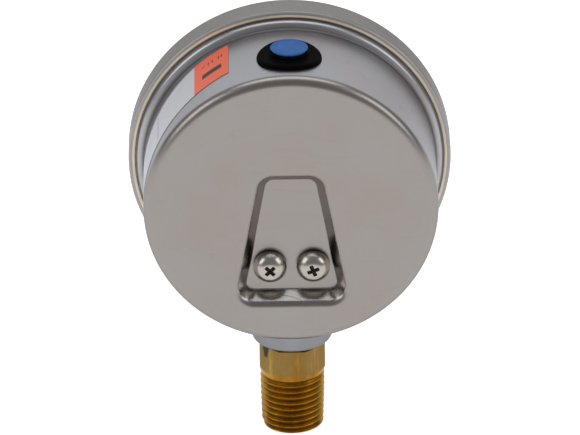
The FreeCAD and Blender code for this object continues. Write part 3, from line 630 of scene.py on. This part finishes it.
class Finish:
    """A material's node tree, written as expressions."""

    def __init__(self, name):
        self.material = bpy.data.materials.new(name)
        self.material.use_nodes = True
        self.nodes = self.material.node_tree.nodes
        self.links = self.material.node_tree.links
        self.nodes.clear()
        self.shader = self.nodes.new("ShaderNodeBsdfPrincipled")
        output = self.nodes.new("ShaderNodeOutputMaterial")
        self.links.new(self.shader.outputs["BSDF"], output.inputs["Surface"])

    def node(self, kind, settings, *values, output=0, **named):
        """Adds a node: its settings first, then values or links by place or by name."""
        made = self.nodes.new("ShaderNode" + kind)
        for key, value in settings.items():
            if key == "stops":
                ramp = made.color_ramp
                while len(ramp.elements) < len(value):
                    ramp.elements.new(1.0)
                for element, (place, tint) in zip(ramp.elements, value):
                    element.position = place
                    element.color = (*tint, 1.0)
            else:
                setattr(made, key, value)
        for key, value in list(enumerate(values)) + list(named.items()):
            self.fill(made.inputs[key], value)
        return Value(self, made.outputs[output])

    def fill(self, socket, value):
        """Links a value to a socket, or sets a constant there."""
        if isinstance(value, Value):
            self.links.new(value.socket, socket)
        elif socket.type == "RGBA":
            socket.default_value = (*value, 1.0)
        else:
            socket.default_value = value

    def place(self):
        """Object coordinates."""
        return self.node("TexCoord", {}, output="Object")

    def round_dial(self, x, up):
        """The angle round the dial's axis, from x and the height over the axis."""
        return self.node("Math", {"operation": "ARCTAN2"}, up, x)

    def multiplied(self, first, second):
        """Two colours multiplied."""
        return self.node("MixRGB", {"blend_type": "MULTIPLY"}, 1.0, first, second)

    def parts(self, vector):
        """The three numbers of a vector."""
        split = self.nodes.new("ShaderNodeSeparateXYZ")
        self.links.new(vector.socket, split.inputs[0])
        return [Value(self, split.outputs[i]) for i in range(3)]

    def vector(self, x, y, z):
        """Three numbers as a vector."""
        return self.node("CombineXYZ", {}, x, y, z)

    def scaled(self, vector, scale):
        """A vector with each number times its own scale."""
        return self.node("Mapping", {"vector_type": "POINT"}, vector, Scale=scale)

    def noise(self, vector, scale, detail=3.0, roughness=0.5):
        """Cloudy noise between 0 and 1, about 0.5."""
        return self.node("TexNoise", {}, Vector=vector, Scale=scale, Detail=detail,
                         Roughness=roughness)

    def mix(self, factor, first, second):
        """Mix of two colours."""
        made = self.nodes.new("ShaderNodeMix")
        made.data_type = "RGBA"
        for place, value in ((0, factor), (6, first), (7, second)):
            self.fill(made.inputs[place], value)
        return Value(self, made.outputs[2])

    def tint(self, colour_value, factor):
        """A colour times a number."""
        return self.multiplied(colour_value, self.node("CombineColor", {}, factor, factor, factor))

    def ramp(self, value, stops):
        """A colour ramp through stops (place, colour)."""
        return self.node("ValToRGB", {"stops": stops}, value)

    def attribute(self, name):
        """A number that the piece's own mesh holds at each point."""
        return self.node("Attribute", {"attribute_name": name}, output="Fac")

    def bump(self, height, strength, distance):
        """A normal tilted by a height, with the distance in metres."""
        return self.node("Bump", {}, Strength=strength, Distance=distance, Height=height)

    def finish(self, **sockets):
        """Sets the shader's sockets by name, with links or constants."""
        for key, value in sockets.items():
            self.fill(self.shader.inputs[key.replace("_", " ")], value)
        return self.material


def satin_steel():
    """Drawn stainless steel: faint reddish patches, light scratches and drawing marks.

    The wall's colour is the back's steel painted cooler and brighter, a painted reflection. Brown dirt and
    painted shade lie along the step to the bead, with painted shade darkest in its inner corner; the wall
    of the recess is smoother and painted brighter, and the lowest part is darkened as painted shade.
    """
    paint, case = bpy.context.scene.gauge_paint, bpy.context.scene.gauge_case
    f = Finish("satin_steel")
    place = f.place()
    x, y, z = f.parts(place)
    up = z - DIAL_Z * MM
    radius = (x * x + up * up) ** 0.5

    # Regions: past the back's edge, the recess wall, its sides and top (painted brighter), the lowest part
    # (painted shade)
    outside = radius.above(28.7 * MM, 900.0) * y.below(9.6 * MM, 900.0)
    stamped = (y.below((BACK - 0.4) * MM, 2500.0) * y.above((BACK - 3.12) * MM, 4000.0)
               * radius.below(27.5 * MM, 900.0))
    sides = stamped * up.above(-19.2 * MM, 900.0)
    under = z.below(25.0 * MM, 900.0) * outside
    # Along the step to the bead: brown dirt with painted shade, and near-black painted shade in its inner
    # corner
    step_off = abs(y - (case.bead_y + 0.25) * MM)
    grime_and_shade = (1.0 - step_off / (0.75 * MM)).clip() * outside
    crease_shade = (1.0 - abs(radius - (case.wall_r + 0.2) * MM) / (0.4 * MM)).clip()

    # Marks: reddish patches, a fine grain, long scratches and small rubs
    patches = f.noise(place, 55.0, 4.0, 0.6)
    cloud = f.ramp(patches, [(0.36, (0.99, 1.0, 1.0)), (0.50, (1.0, 0.99, 0.98)),
                             (0.64, (1.02, 0.945, 0.935))])
    grain = f.noise(f.scaled(place, (1.0, 6.0, 1.0)), 900.0, 2.0, 0.6) - 0.5
    warp = f.noise(place, 30.0, 2.0)
    scratch_path = f.vector(x * 0.25 + warp * 0.02, y, z + warp * 0.015)
    scratch = f.noise(f.scaled(scratch_path, (60.0, 60.0, 900.0)), 3.0, 2.0, 0.5).above(0.64, 14.0)
    rubs = f.noise(place, 140.0, 3.0, 0.7).above(0.66, 8.0)

    # Past the back's edge the steel takes the wall's colour, painted cooler and brighter as a painted
    # reflection
    base = f.multiplied(f.mix(outside, tuple(paint.steel), tuple(paint.wall)), cloud)
    # Brown dirt and painted shade along the step, then near-black painted shade in the inner corner
    base = f.mix(grime_and_shade * 0.5, base, (0.10, 0.072, 0.056))
    base = f.mix(crease_shade * (grime_and_shade * 4.0).clip() * 0.5, base, (0.03, 0.022, 0.018))
    # The lowest part is darkened by 38 percent as painted shade
    tone = (1.0 - scratch * 0.05 - rubs * 0.06 + grain * 0.06) * (1.0 - under * 0.38)
    # Painted light: the recess wall is brightened, its sides and top much more
    tone = tone + stamped * 0.12 + sides * 0.55
    rough = 0.32 + (patches - 0.5) * 0.10 + scratch * 0.06 + grain * 0.05 - stamped * 0.13 + grime_and_shade * 0.3
    height = grain * 0.5 + scratch * 0.5
    return f.finish(Base_Color=f.tint(base, tone), Metallic=1.0, Roughness=rough.clip(),
                    Specular_Tint=(0.62, 0.62, 0.64), Normal=f.bump(height, 0.06, 0.0001))


def brushed_band():
    """Rolled steel with fine marks round the ring: noise stretched along the angle.

    The rear face is painted paler and made duller than the band so that it catches light, and its inner
    edge is a warm pale painted highlight.
    """
    paint = bpy.context.scene.gauge_paint
    f = Finish("brushed_band")
    place = f.place()
    x, y, z = f.parts(place)
    up = z - DIAL_Z * MM
    angle = f.round_dial(x, up)
    radius = (x * x + up * up) ** 0.5
    marks = f.noise(f.vector(angle * 1.2, y * 900.0, radius * 900.0), 4.0, 3.0, 0.65) - 0.5
    cross = f.noise(f.vector(angle * 260.0, y * 120.0, radius * 120.0), 1.0, 2.0) - 0.5
    cloud = f.noise(place, 70.0, 3.0) - 0.5
    tone = 0.97 + marks * 0.22 + cross * 0.12 + cloud * 0.06
    # Painted light: the rear face is a paler, less metallic copy of the band's steel, and its inner edge a
    # warm painted highlight
    face = y.above((BEZEL_REAR - 0.25) * MM, 6000.0)
    lip = face * radius.below(33.6 * MM, 5000.0)
    tint = f.mix(face, tuple(paint.band), (0.40, 0.385, 0.37))
    tint = f.mix(lip * (0.9 + cloud * 1.2).clip(), tint, tuple(paint.lip))
    rough = 0.30 + marks * 0.16 + cross * 0.06
    return f.finish(Base_Color=f.tint(tint, tone), Metallic=(1.0 - face * 0.75 - lip * 0.2).clip(),
                    Roughness=rough.clip(), Specular_Tint=(0.5, 0.5, 0.5),
                    Normal=f.bump(marks, 0.10, 0.00008))


def dark_gap():
    """Teeth in the crimp: pale on the teeth, and near black with brown spots between them as painted
    shadow.
    """
    f = Finish("dark_gap")
    place = f.place()
    spots = f.noise(place, 900.0, 2.0)
    x, _, z = f.parts(place)
    tooth = ((f.round_dial(x, z - DIAL_Z * MM) * TEETH + TOOTH_PHASE).sine() * 6.0).clip()
    # Near black between the teeth: the gap's painted shadow
    dark = f.ramp(spots, [(0.35, (0.006, 0.005, 0.004)), (0.7, (0.05, 0.04, 0.03))])
    return f.finish(Base_Color=f.mix(tooth, dark, (0.42, 0.38, 0.32)), Metallic=0.6, Roughness=0.45)


def zinc_plate():
    """Plated screws: bright on the crown, and dark brown and duller where the cross is sunk."""
    paint = bpy.context.scene.gauge_paint
    f = Finish("zinc_plate")
    place = f.place()
    x, y, z = f.parts(place)
    across, up = abs(x) - SCREW_X * MM, z - (DIAL_Z + SCREW_Z) * MM
    near = (1.0 - (across * across + up * up) ** 0.5 * 470.0).clip()
    # Dark brown and duller where the cross is sunk
    cross_dark = y.below((SCREW_TOP - 0.55) * MM, 1600.0) * (near * 4.0).clip()
    cloud = f.noise(place, 600.0, 3.0, 0.6)
    tone = f.tint(tuple(paint.zinc), 0.94 + (cloud - 0.5) * 0.25)
    rough = 0.2 + cloud * 0.12 + cross_dark * 0.3
    return f.finish(Base_Color=f.mix(cross_dark, tone, (0.045, 0.026, 0.010)), Metallic=1.0 - cross_dark * 0.8,
                    Roughness=rough.clip(), Normal=f.bump(cloud, 0.05, 0.0001))


def machined_brass():
    """Turned brass: tarnish in the roots, streaks of brown and gold, fine turning lines.

    The neck is paler than the thread, and a near-black wedge hangs from the seal on one side, about
    its own middle line and narrowing downwards.
    """
    paint, stem = bpy.context.scene.gauge_paint, bpy.context.scene.gauge_stem
    f = Finish("machined_brass")
    place = f.place()
    x, y, z = f.parts(place)
    stains = f.noise(f.scaled(place, (1.0, 1.0, 0.35)), 230.0, 4.0, 0.62)
    streaks = f.noise(f.scaled(place, (1.0, 1.0, 0.12)), 700.0, 3.0, 0.6)
    lines = f.noise(f.scaled(place, (0.06, 0.06, 1.0)), 5200.0, 2.0, 0.5)
    on_neck = z.above((stem.thread_top + 0.6) * MM, 1200.0)
    stain = stains.above(0.46, 4.0)
    clean = f.mix(on_neck, tuple(paint.thread), tuple(paint.brass))
    tint = f.mix(stain * 0.8, clean, f.mix(on_neck, (0.27, 0.085, 0.006), (0.25, 0.115, 0.018)))
    tint = f.mix(streaks.above(0.54, 6.0) * 0.6, tint, (0.42, 0.29, 0.055))
    burnt = f.noise(place, 170.0, 4.0, 0.65).above(0.52, 5.0) * (1.0 - on_neck * 0.8)
    tint = f.mix(burnt * 0.6, tint, (0.07, 0.026, 0.005))
    dark = f.attribute("groove").above(0.42, 1.9)
    tint = f.mix(dark * 0.62, tint, tuple(paint.brass_dark))
    # A near-black wedge below the seal, on the side towards +y
    wedge_x, wedge_z = x - 5.65 * MM, z - (NECK_TOP - 0.3) * MM
    wide = f.node("Math", {"operation": "MAXIMUM"}, 0.00078 + wedge_z * 0.2, 0.00001)
    dark_wedge = ((1.0 - abs(wedge_x) / wide) * 3.0).clip() * wedge_z.above(-2.4 * MM, 3000.0)
    dark_wedge = dark_wedge * (y * 900.0 - 1.6).clip()
    tint = f.mix(dark_wedge, tint, (0.004, 0.004, 0.005))
    rough = 0.30 + stain * 0.14 + dark * 0.2 + (lines - 0.5) * 0.12 + dark_wedge * 0.3
    return f.finish(Base_Color=f.tint(tint, 0.93 + (lines - 0.5) * 0.3), Metallic=1.0 - dark_wedge,
                    Roughness=rough.clip(), Normal=f.bump(lines + stains * 0.5, 0.10, 0.0001))


def black_rubber():
    """Moulded rubber: deep black, nearly matt, with fine flow rings round the stem's axis."""
    paint = bpy.context.scene.gauge_paint
    f = Finish("black_rubber")
    place = f.place()
    x, y = f.parts(place)[:2]
    rings = ((x * x + y * y) ** 0.5 * 9000.0).sine()
    grain = f.noise(place, 1500.0, 3.0, 0.6)
    dust = f.noise(place, 260.0, 4.0, 0.7).above(0.6, 5.0)
    tint = f.mix(dust * 0.08, tuple(paint.rubber), (0.05, 0.05, 0.055))
    return f.finish(Base_Color=tint, Roughness=(0.55 + grain * 0.2).clip(), Specular_IOR_Level=0.02,
                    Normal=f.bump(grain + rings * 0.12, 0.12, 0.0001))


def moulded_blue():
    """Moulded blue plastic with a soft shine and faint scuffs."""
    paint = bpy.context.scene.gauge_paint
    f = Finish("moulded_blue")
    place = f.place()
    grain = f.noise(place, 1400.0, 3.0, 0.6)
    cloud = f.noise(place, 330.0, 3.0)
    scuffs = f.noise(f.scaled(place, (1.0, 0.2, 1.0)), 1200.0, 2.0).above(0.62, 7.0)
    tint = f.mix(cloud.above(0.4, 1.6) * 0.35, tuple(paint.plug), (0.035, 0.14, 0.42))
    tint = f.mix(scuffs * 0.25, tint, (0.10, 0.22, 0.48))
    return f.finish(Base_Color=tint, Roughness=(0.42 + grain * 0.15).clip(), Specular_IOR_Level=0.12,
                    Normal=f.bump(grain, 0.06, 0.0001))


def printed_film(name, base, marks):
    """Sticker film with plain printed bars, each between two places along it and two across it."""
    f = Finish(name)
    along, across = f.attribute("along"), f.attribute("across")
    grain = f.noise(f.place(), 1800.0, 3.0)
    tint = base
    for low_a, high_a, low_c, high_c, ink in marks:
        inside = (along.above(low_a, 12.0) * along.below(high_a, 12.0)
                  * across.above(low_c, 12.0) * across.below(high_c, 12.0))
        tint = f.mix(inside, tint, ink)
    shade = f.tint(tint, 0.96 + (grain - 0.5) * 0.10)
    return f.finish(Base_Color=shade, Roughness=(0.45 + grain * 0.12).clip(), Specular_IOR_Level=0.12,
                    Normal=f.bump(grain, 0.03, 0.0001))


def enamel(name, base, rough):
    """Even enamel or paint with a fine grain."""
    f = Finish(name)
    grain = f.noise(f.place(), 2200.0, 3.0)
    cloud = f.noise(f.place(), 60.0, 2.0)
    return f.finish(Base_Color=f.tint(base, 0.97 + (grain - 0.5) * 0.06 + (cloud - 0.5) * 0.03),
                    Roughness=(rough + (grain - 0.5) * 0.1).clip(), Normal=f.bump(grain, 0.04, 0.00005))


def worked_metal(name, base, rough, scale=(1.0, 1.0, 0.1)):
    """Metal of the inner pieces: stretched tool marks and faint tarnish."""
    f = Finish(name)
    place = f.place()
    marks = f.noise(f.scaled(place, scale), 3000.0, 3.0, 0.6)
    cloud = f.noise(place, 260.0, 3.0, 0.6)
    tint = f.tint(base, 0.94 + (marks - 0.5) * 0.28 + (cloud - 0.5) * 0.2)
    return f.finish(Base_Color=tint, Metallic=1.0, Roughness=(rough + (marks - 0.5) * 0.2).clip(),
                    Normal=f.bump(marks, 0.08, 0.00005))


def clear_pane():
    """Clear moulded plastic: nearly all see-through, so that the dial shows, with a glossy face."""
    f = Finish("clear_pane")
    smears = f.noise(f.place(), 90.0, 4.0, 0.6)
    return f.finish(Base_Color=(0.05, 0.055, 0.06), Roughness=(0.02 + smears * 0.05).clip(),
                    Alpha=0.12, IOR=1.49, Specular_IOR_Level=0.5)


# Dial, tube and stage -----------------------------------------------------

def wear(node, material):
    """Gives a CAD node's object one material."""
    node.data.materials.clear()
    node.data.materials.append(material)


def scale_marks(ink):
    """Raised strokes of the scale and the arc that joins their outer ends.

    A stroke is a thin wedge of a ring, longer and wider at every fifth. The arc is a small
    oblong carried round the dial's axis.
    """
    front, back = DIAL_FRONT - 0.05, DIAL_FRONT
    grids = []
    for i in range(STROKES + 1):
        middle = math.radians(SCALE_START - SCALE_SWEEP * i / STROKES)
        inner, half_wide = (21.5, 0.26) if i % 5 == 0 else (24.0, 0.12)
        half = half_wide / SCALE_R
        corner_r = np.array([inner, SCALE_R, SCALE_R, inner])
        corner_a = middle + half * np.array([-1, -1, 1, 1])
        ring = np.stack([corner_r * np.cos(corner_a), 0 * corner_r,
                         DIAL_Z + corner_r * np.sin(corner_a)], axis=-1)
        grids.append(np.stack([ring + (0, front, 0), ring + (0, back, 0)]))
    arc = np.radians(np.linspace(SCALE_START, SCALE_START - SCALE_SWEEP, 181))[:, None]
    arc_r = SCALE_R + 0.35
    edge = np.array([(SCALE_R, front), (arc_r, front), (arc_r, back), (SCALE_R, back)])
    r, y = edge[None, :, 0], edge[None, :, 1]
    grids.append(np.stack([r * np.cos(arc), y + 0 * arc, DIAL_Z + r * np.sin(arc)], axis=-1))
    piece("scale_marks", grids, ink, "case", sharp=30)


def scale_numbers(ink):
    """Plain numbers inside the scale, made a mesh before they are placed."""
    half_thick, radius = 0.025 * MM, 18.4 * MM
    for i in range(NUMBERS + 1):
        angle = math.radians(SCALE_START - SCALE_SWEEP * i / NUMBERS)
        curve = bpy.data.curves.new("number_%d" % i, "FONT")
        curve.body = str(i)
        curve.size = 4.4 * MM
        curve.extrude = half_thick
        curve.align_x = "CENTER"
        curve.align_y = "CENTER"
        made = bpy.data.objects.new("number_%d" % i, curve)
        bpy.context.scene.collection.objects.link(made)
        bpy.context.view_layer.update()
        mesh = bpy.data.meshes.new_from_object(made)
        bpy.data.objects.remove(made)
        co = np.zeros(len(mesh.vertices) * 3)
        mesh.vertices.foreach_get("co", co)
        across, up, out = co.reshape(-1, 3).T
        placed = np.stack([across + radius * math.cos(angle), DIAL_FRONT * MM - half_thick - out,
                           up + DIAL_Z * MM + radius * math.sin(angle)], axis=-1)
        mesh.vertices.foreach_set("co", placed.ravel())
        mesh.materials.clear()
        mesh.materials.append(ink)
        thing = bpy.data.objects.new("dial_number_%d" % i, mesh)
        bpy.context.scene.collection.objects.link(thing)
        tidy_mesh(thing, 30)
        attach(thing, "case")


def bourdon_tube(material):
    """The flattened tube: an oblong section carried along a circle about the dial's axis.

    Section point = (ring radius + half thickness * sin t, y + half thickness * cos t + straight
    part * tanh(6 cos t)). The tube curves round between the case and its end piece.
    """
    start, end = math.radians(256.0), math.radians(-27.0)
    ring, half_thick, half_wide, y0 = 21.0, 1.3, 4.0, 1.5
    t = np.linspace(0, TURN, 48, endpoint=False)[None, :]
    straight = half_wide - half_thick
    r = ring + half_thick * np.sin(t)
    y = y0 + half_thick * np.cos(t) + straight * np.tanh(6 * np.cos(t))
    arc = np.linspace(start, end, 220)[:, None]
    grid = np.stack([r * np.cos(arc), y + 0 * arc, DIAL_Z + r * np.sin(arc)], axis=-1)
    tube = piece("flattened_tube", [grid], material, "case", ("bourdon_tube",),
                 sharp=50)
    tube.parent = None
    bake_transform(tube)


def soft_box(name, size, energy, place, tint=(1.0, 1.0, 1.0)):
    """A rectangular area light, turned to the middle of the gauge."""
    data = bpy.data.lights.new(name, "AREA")
    data.shape = "RECTANGLE"
    data.size, data.size_y = size
    data.energy = energy
    data.color = tint
    made = bpy.data.objects.new(name, data)
    made.location = place
    made.rotation_euler = (Vector((0, 0, 0.05)) - made.location).to_track_quat("-Z", "Y").to_euler()
    bpy.context.scene.collection.objects.link(made)


def floor():
    """A pale floor under the stem that rises into a backdrop far behind, one swept sheet.

    It is a rounded corner (y, z) carried along x, and lies a hair under the stem. Sizes are in
    metres.
    """
    half_wide, behind, in_front, tall, bend = 6.0, -4.4, 5.0, 5.2, 2.0
    f = Finish("pale_floor")
    grain = f.noise(f.place(), 40.0, 2.0)
    f.finish(Base_Color=f.tint((0.60, 0.60, 0.60), 0.99 + (grain - 0.5) * 0.02), Roughness=0.9,
             Specular_IOR_Level=0.1, Emission_Color=(1.0, 1.0, 1.0), Emission_Strength=0.84)
    profile = rounded([(in_front, 0.0, 0), (behind, 0.0, bend), (behind, tall, 0)], 24)
    x = np.array([-half_wide, half_wide])[None, :]
    y, z = profile[:, :1], profile[:, 1:]
    grid = np.stack([x + 0 * y, y + 0 * x, z + 0 * x - 0.00002], axis=-1)
    mesh = bpy.data.meshes.new("floor")
    i = np.arange(len(profile) - 1)
    faces = np.stack([2 * i, 2 * i + 1, 2 * i + 3, 2 * i + 2], axis=-1)
    mesh.from_pydata(grid.reshape(-1, 3).tolist(), [], faces.tolist())
    mesh.shade_smooth()
    mesh.materials.append(f.material)
    sheet = bpy.data.objects.new("floor", mesh)
    bpy.context.scene.collection.objects.link(sheet)


def lights():
    """An even, dim room, a soft box overhead and one on each side."""
    look = bpy.context.scene.gauge_stage
    world = bpy.data.worlds.new("room")
    world.use_nodes = True
    background = world.node_tree.nodes["Background"]
    background.inputs["Color"].default_value = (0.97, 0.98, 1.0, 1.0)
    background.inputs["Strength"].default_value = look.world
    bpy.context.scene.world = world
    soft_box("left_box", (0.55, 0.8), 3.2, (1.05, 0.42, 0.72))
    soft_box("right_box", (0.55, 0.8), 3.2, (-1.05, 0.42, 0.72))
    soft_box("top_box", (1.3, 0.55), 4.6, (0.0, -0.06, 1.2), (0.93, 0.97, 1.0))


def camera():
    """A long lens above and behind the gauge, aimed a little below the dial's centre."""
    look = bpy.context.scene.gauge_stage
    scene = bpy.context.scene
    data = bpy.data.cameras.new("camera")
    data.lens = look.focal
    data.sensor_width = 36.0
    data.clip_end = 20.0
    made = bpy.data.objects.new("camera", data)
    centre = Vector((0.0, -9.0 * MM, DIAL_Z * MM))
    away = Vector((math.sin(look.azimuth) * math.cos(look.elevation),
                   math.cos(look.azimuth) * math.cos(look.elevation), math.sin(look.elevation)))
    made.location = centre + away * look.distance
    aim = (Vector(look.aim) - made.location).to_track_quat("-Z", "Y")
    made.rotation_mode = "QUATERNION"
    made.rotation_quaternion = aim @ Quaternion((0, 0, 1), look.roll)
    scene.collection.objects.link(made)
    scene.camera = made
    scene.view_settings.view_transform = "Standard"


# Operators ----------------------------------------------------------------

class BuildCase(bpy.types.Operator):
    """Builds the drawn case with its recess, bead, flange and boss"""

    bl_idname = "gauge.build_case"
    bl_label = "Case"

    def execute(self, context):
        steel = satin_steel()
        piece("drawn_case", [case_grid()], steel, "case", ("case",),
              closed=True, sharp=60)
        piece("stem_boss", [boss_grid()], steel, "case", closed=True, sharp=50)
        return {"FINISHED"}


class BuildBezel(bpy.types.Operator):
    """Builds the rolled bezel ring and the teeth in its gap"""

    bl_idname = "gauge.build_bezel"
    bl_label = "Bezel"

    def execute(self, context):
        piece("rolled_bezel", [bezel_grid()], brushed_band(), "case",
              ("bezel_ring",), closed=True, sharp=50)
        piece("crimp_teeth", [knurl_grid()], dark_gap(), "case",
              closed=True, sharp=30)
        return {"FINISHED"}


class BuildScrews(bpy.types.Operator):
    """Builds the two pan head screws on the back"""

    bl_idname = "gauge.build_screws"
    bl_label = "Case screws"

    def execute(self, context):
        turns = (math.radians(45), math.radians(-22))
        heads = [pan_head_grid(x, turn) for x, turn in zip((SCREW_X, -SCREW_X), turns)]
        piece("pan_head_screws", heads, zinc_plate(), "case", ("case_screws",),
              sharp=45)
        return {"FINISHED"}


class BuildStem(bpy.types.Operator):
    """Builds the pipe thread and the eight sided neck"""

    bl_idname = "gauge.build_stem"
    bl_label = "Stem"

    def execute(self, context):
        thread, groove = thread_grid()
        columns = thread.shape[1]
        port = about_stem(np.array([(1.2, 9.2), (1.9, 9.0), (1.9, 6.0), (2.25, 6.0), (2.25, 0.25),
                                    (2.45, 0.0)]), columns)
        whole = np.concatenate([port, thread])
        values = np.concatenate([np.zeros(port.shape[0] * columns), groove])
        brass = machined_brass()
        spigot_r, shoulder_z = 5.8, 25.9
        spigot = about_stem(np.array([(spigot_r, NECK_TOP - 0.5), (spigot_r, shoulder_z),
                                      (4.0, shoulder_z), (4.0, 30.0)]), 96)
        piece("threaded_stem", [whole], brass, "case", ("socket",), sharp=50,
              attributes={"groove": values})
        piece("eight_sided_neck", [neck_grid(), spigot], brass, "case", sharp=24)
        return {"FINISHED"}


class BuildFillPlug(bpy.types.Operator):
    """Builds the rubber grommet, the seal on the neck and the blue plug"""

    bl_idname = "gauge.build_fill_plug"
    bl_label = "Fill plug"

    def execute(self, context):
        rubber = black_rubber()
        under = PLUG_TOP - 0.5
        hub = about_stem(np.array([(2.15, DIAL_Z + 29.5), (4.1, DIAL_Z + 30.4), (4.1, under - 0.25),
                                   (3.9, under - 0.02), (2.15, under - 0.02)]), 96)
        piece("fill_grommet_flange", [grommet_grid(), hub], rubber, "case",
              ("fill_grommet",), sharp=40)
        seal_hole_r, seal_r = 5.9, NECK_HALF + 0.2
        seal = rounded([(seal_hole_r, NECK_TOP, 0), (seal_r, NECK_TOP, 0.1), (seal_r, BOSS_FLAT, 0.1),
                        (seal_hole_r, BOSS_FLAT, 0)], 4)
        piece("neck_seal_ring", [about_stem(seal, 128)], rubber, "case",
              ("neck_seal",), closed=True)
        shank_r = 2.05
        head = rounded([(0, PLUG_TOP - 0.06, 0), (PLUG_R - 0.75, PLUG_TOP - 0.05, 0.2),
                        (PLUG_R - 0.45, PLUG_TOP, 0.2), (PLUG_R, PLUG_TOP - 0.12, 0.08),
                        (PLUG_R - 0.3, under, 0.1), (shank_r, under, 0.1), (shank_r, PLUG_LOW + 0.5, 0.3),
                        (1.6, PLUG_LOW, 0.2), (0, PLUG_LOW, 0)], 6)
        piece("blue_plug", [about_stem(head, 128)], moulded_blue(), "vent_plug",
              ("vent_plug",), sharp=50)
        return {"FINISHED"}


class BuildStickers(bpy.types.Operator):
    """Builds the two halves of the sticker with generic printed bars"""

    bl_idname = "gauge.build_stickers"
    bl_label = "Stickers"

    def execute(self, context):
        paint = context.scene.gauge_paint
        ink, pale = (0.05, 0.035, 0.03), (0.42, 0.42, 0.50)
        top, split, low_end = 24.2, 39.8, 84.0
        orange = printed_film("orange_film", tuple(paint.orange),
                              [(1.4, 1.75, -0.62, -0.34, ink), (2.1, 2.45, -0.62, -0.34, ink),
                               (3.6, 3.95, -0.62, -0.34, ink), (4.6, 4.95, -0.62, -0.34, ink),
                               (5.6, 6.6, -0.55, -0.42, ink), (1.6, 6.4, 0.02, 0.40, ink)])
        white = printed_film("white_film", tuple(paint.white),
                             [(3.0, 21.0, -0.55, -0.45, pale), (3.0, 18.0, -0.25, -0.16, pale),
                              (3.0, 20.0, 0.05, 0.14, pale), (12.0, 12.9, -0.8, 0.8, pale)])
        for name, start, end, material, slot, node in (
                ("orange_sticker", top, split, orange, "sticker_orange", "sticker_orange"),
                ("white_sticker", split, low_end, white, "sticker_white", "sticker_white")):
            grid, along, side = sticker_grid(start, end)
            run = np.repeat(along - along[0], grid.shape[1])
            across = np.tile(np.concatenate([side.ravel(), side.ravel()[::-1]]), grid.shape[0])
            piece(name, [grid], material, "case", (node,), sharp=60,
                  attributes={"along": run, "across": across})
        return {"FINISHED"}


class BuildDial(bpy.types.Operator):
    """Prints a plain scale on the dial and finishes the window and the pointer"""

    bl_idname = "gauge.build_dial"
    bl_label = "Dial"

    def execute(self, context):
        paint = context.scene.gauge_paint
        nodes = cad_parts
        ink = enamel("scale_ink", (0.012, 0.012, 0.013), 0.5)
        wear(nodes["dial"], enamel("dial_enamel", tuple(paint.enamel), 0.4))
        for name in ("pointer", "pointer_hub"):
            wear(nodes[name], enamel("pointer_paint_" + name, (0.012, 0.012, 0.013), 0.42))
        wear(nodes["window"], clear_pane())
        scale_marks(ink)
        scale_numbers(ink)
        return {"FINISHED"}


class FinishMovement(bpy.types.Operator):
    """Gives the inner pieces their metals, and rebuilds the bourdon tube as a curved tube"""

    bl_idname = "gauge.finish_movement"
    bl_label = "Movement"

    def execute(self, context):
        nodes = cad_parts
        brass = worked_metal("stamped_brass", (0.62, 0.42, 0.14), 0.3)
        steel = worked_metal("turned_steel", (0.50, 0.50, 0.50), 0.28)
        bronze = worked_metal("drawn_bronze", (0.50, 0.27, 0.11), 0.3, (1.0, 0.1, 1.0))
        rubber = black_rubber()
        for name in ("movement_back_plate", "movement_front_plate", "movement_pillars", "sector_gear",
                     "link", "hairspring_collet", "hairspring_stud", "dial_posts", "tube_block",
                     "tube_tip", "restrictor_screw"):
            wear(nodes[name], brass)
        for name in ("tip_pin", "tail_pin", "pinion", "sector_arbor", "pointer_arbor", "pillar_screws",
                     "block_screws", "stop_pin", "dial_screws"):
            wear(nodes[name], steel)
        for name in ("window_gasket", "screw_washers"):
            wear(nodes[name], rubber)
        wear(nodes["hairspring"], bronze)
        bourdon_tube(bronze)
        return {"FINISHED"}


class BuildStage(bpy.types.Operator):
    """Sets the floor, the soft boxes and the camera"""

    bl_idname = "gauge.build_stage"
    bl_label = "Stage"

    def execute(self, context):
        floor()
        lights()
        camera()
        return {"FINISHED"}


OPERATORS = (BuildCase, BuildBezel, BuildScrews, BuildStem, BuildFillPlug, BuildStickers, BuildDial,
             FinishMovement, BuildStage)


class GaugePanel(bpy.types.Panel):
    """Lists the gauge's build steps"""

    bl_idname = "VIEW3D_PT_gauge"
    bl_label = "Pressure gauge"
    bl_space_type = "VIEW_3D"
    bl_region_type = "UI"
    bl_category = "Gauge"

    def draw(self, context):
        for group in GROUPS:
            box = self.layout.box()
            values = getattr(context.scene, group)
            for name in values.__annotations__:
                box.prop(values, name)
        for operator in OPERATORS:
            self.layout.operator(operator.bl_idname)


def register():
    for kind in (*GROUPS.values(), *OPERATORS, GaugePanel):
        bpy.utils.register_class(kind)
    for name, kind in GROUPS.items():
        setattr(bpy.types.Scene, name, bpy.props.PointerProperty(type=kind))


def unregister():
    for name in GROUPS:
        delattr(bpy.types.Scene, name)
    for kind in reversed((*GROUPS.values(), *OPERATORS, GaugePanel)):
        bpy.utils.unregister_class(kind)


def main():
    """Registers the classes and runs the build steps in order."""
    register()
    for operator in OPERATORS:
        family, name = operator.bl_idname.split(".")
        getattr(getattr(bpy.ops, family), name)()


if __name__ == "__main__":
    main()
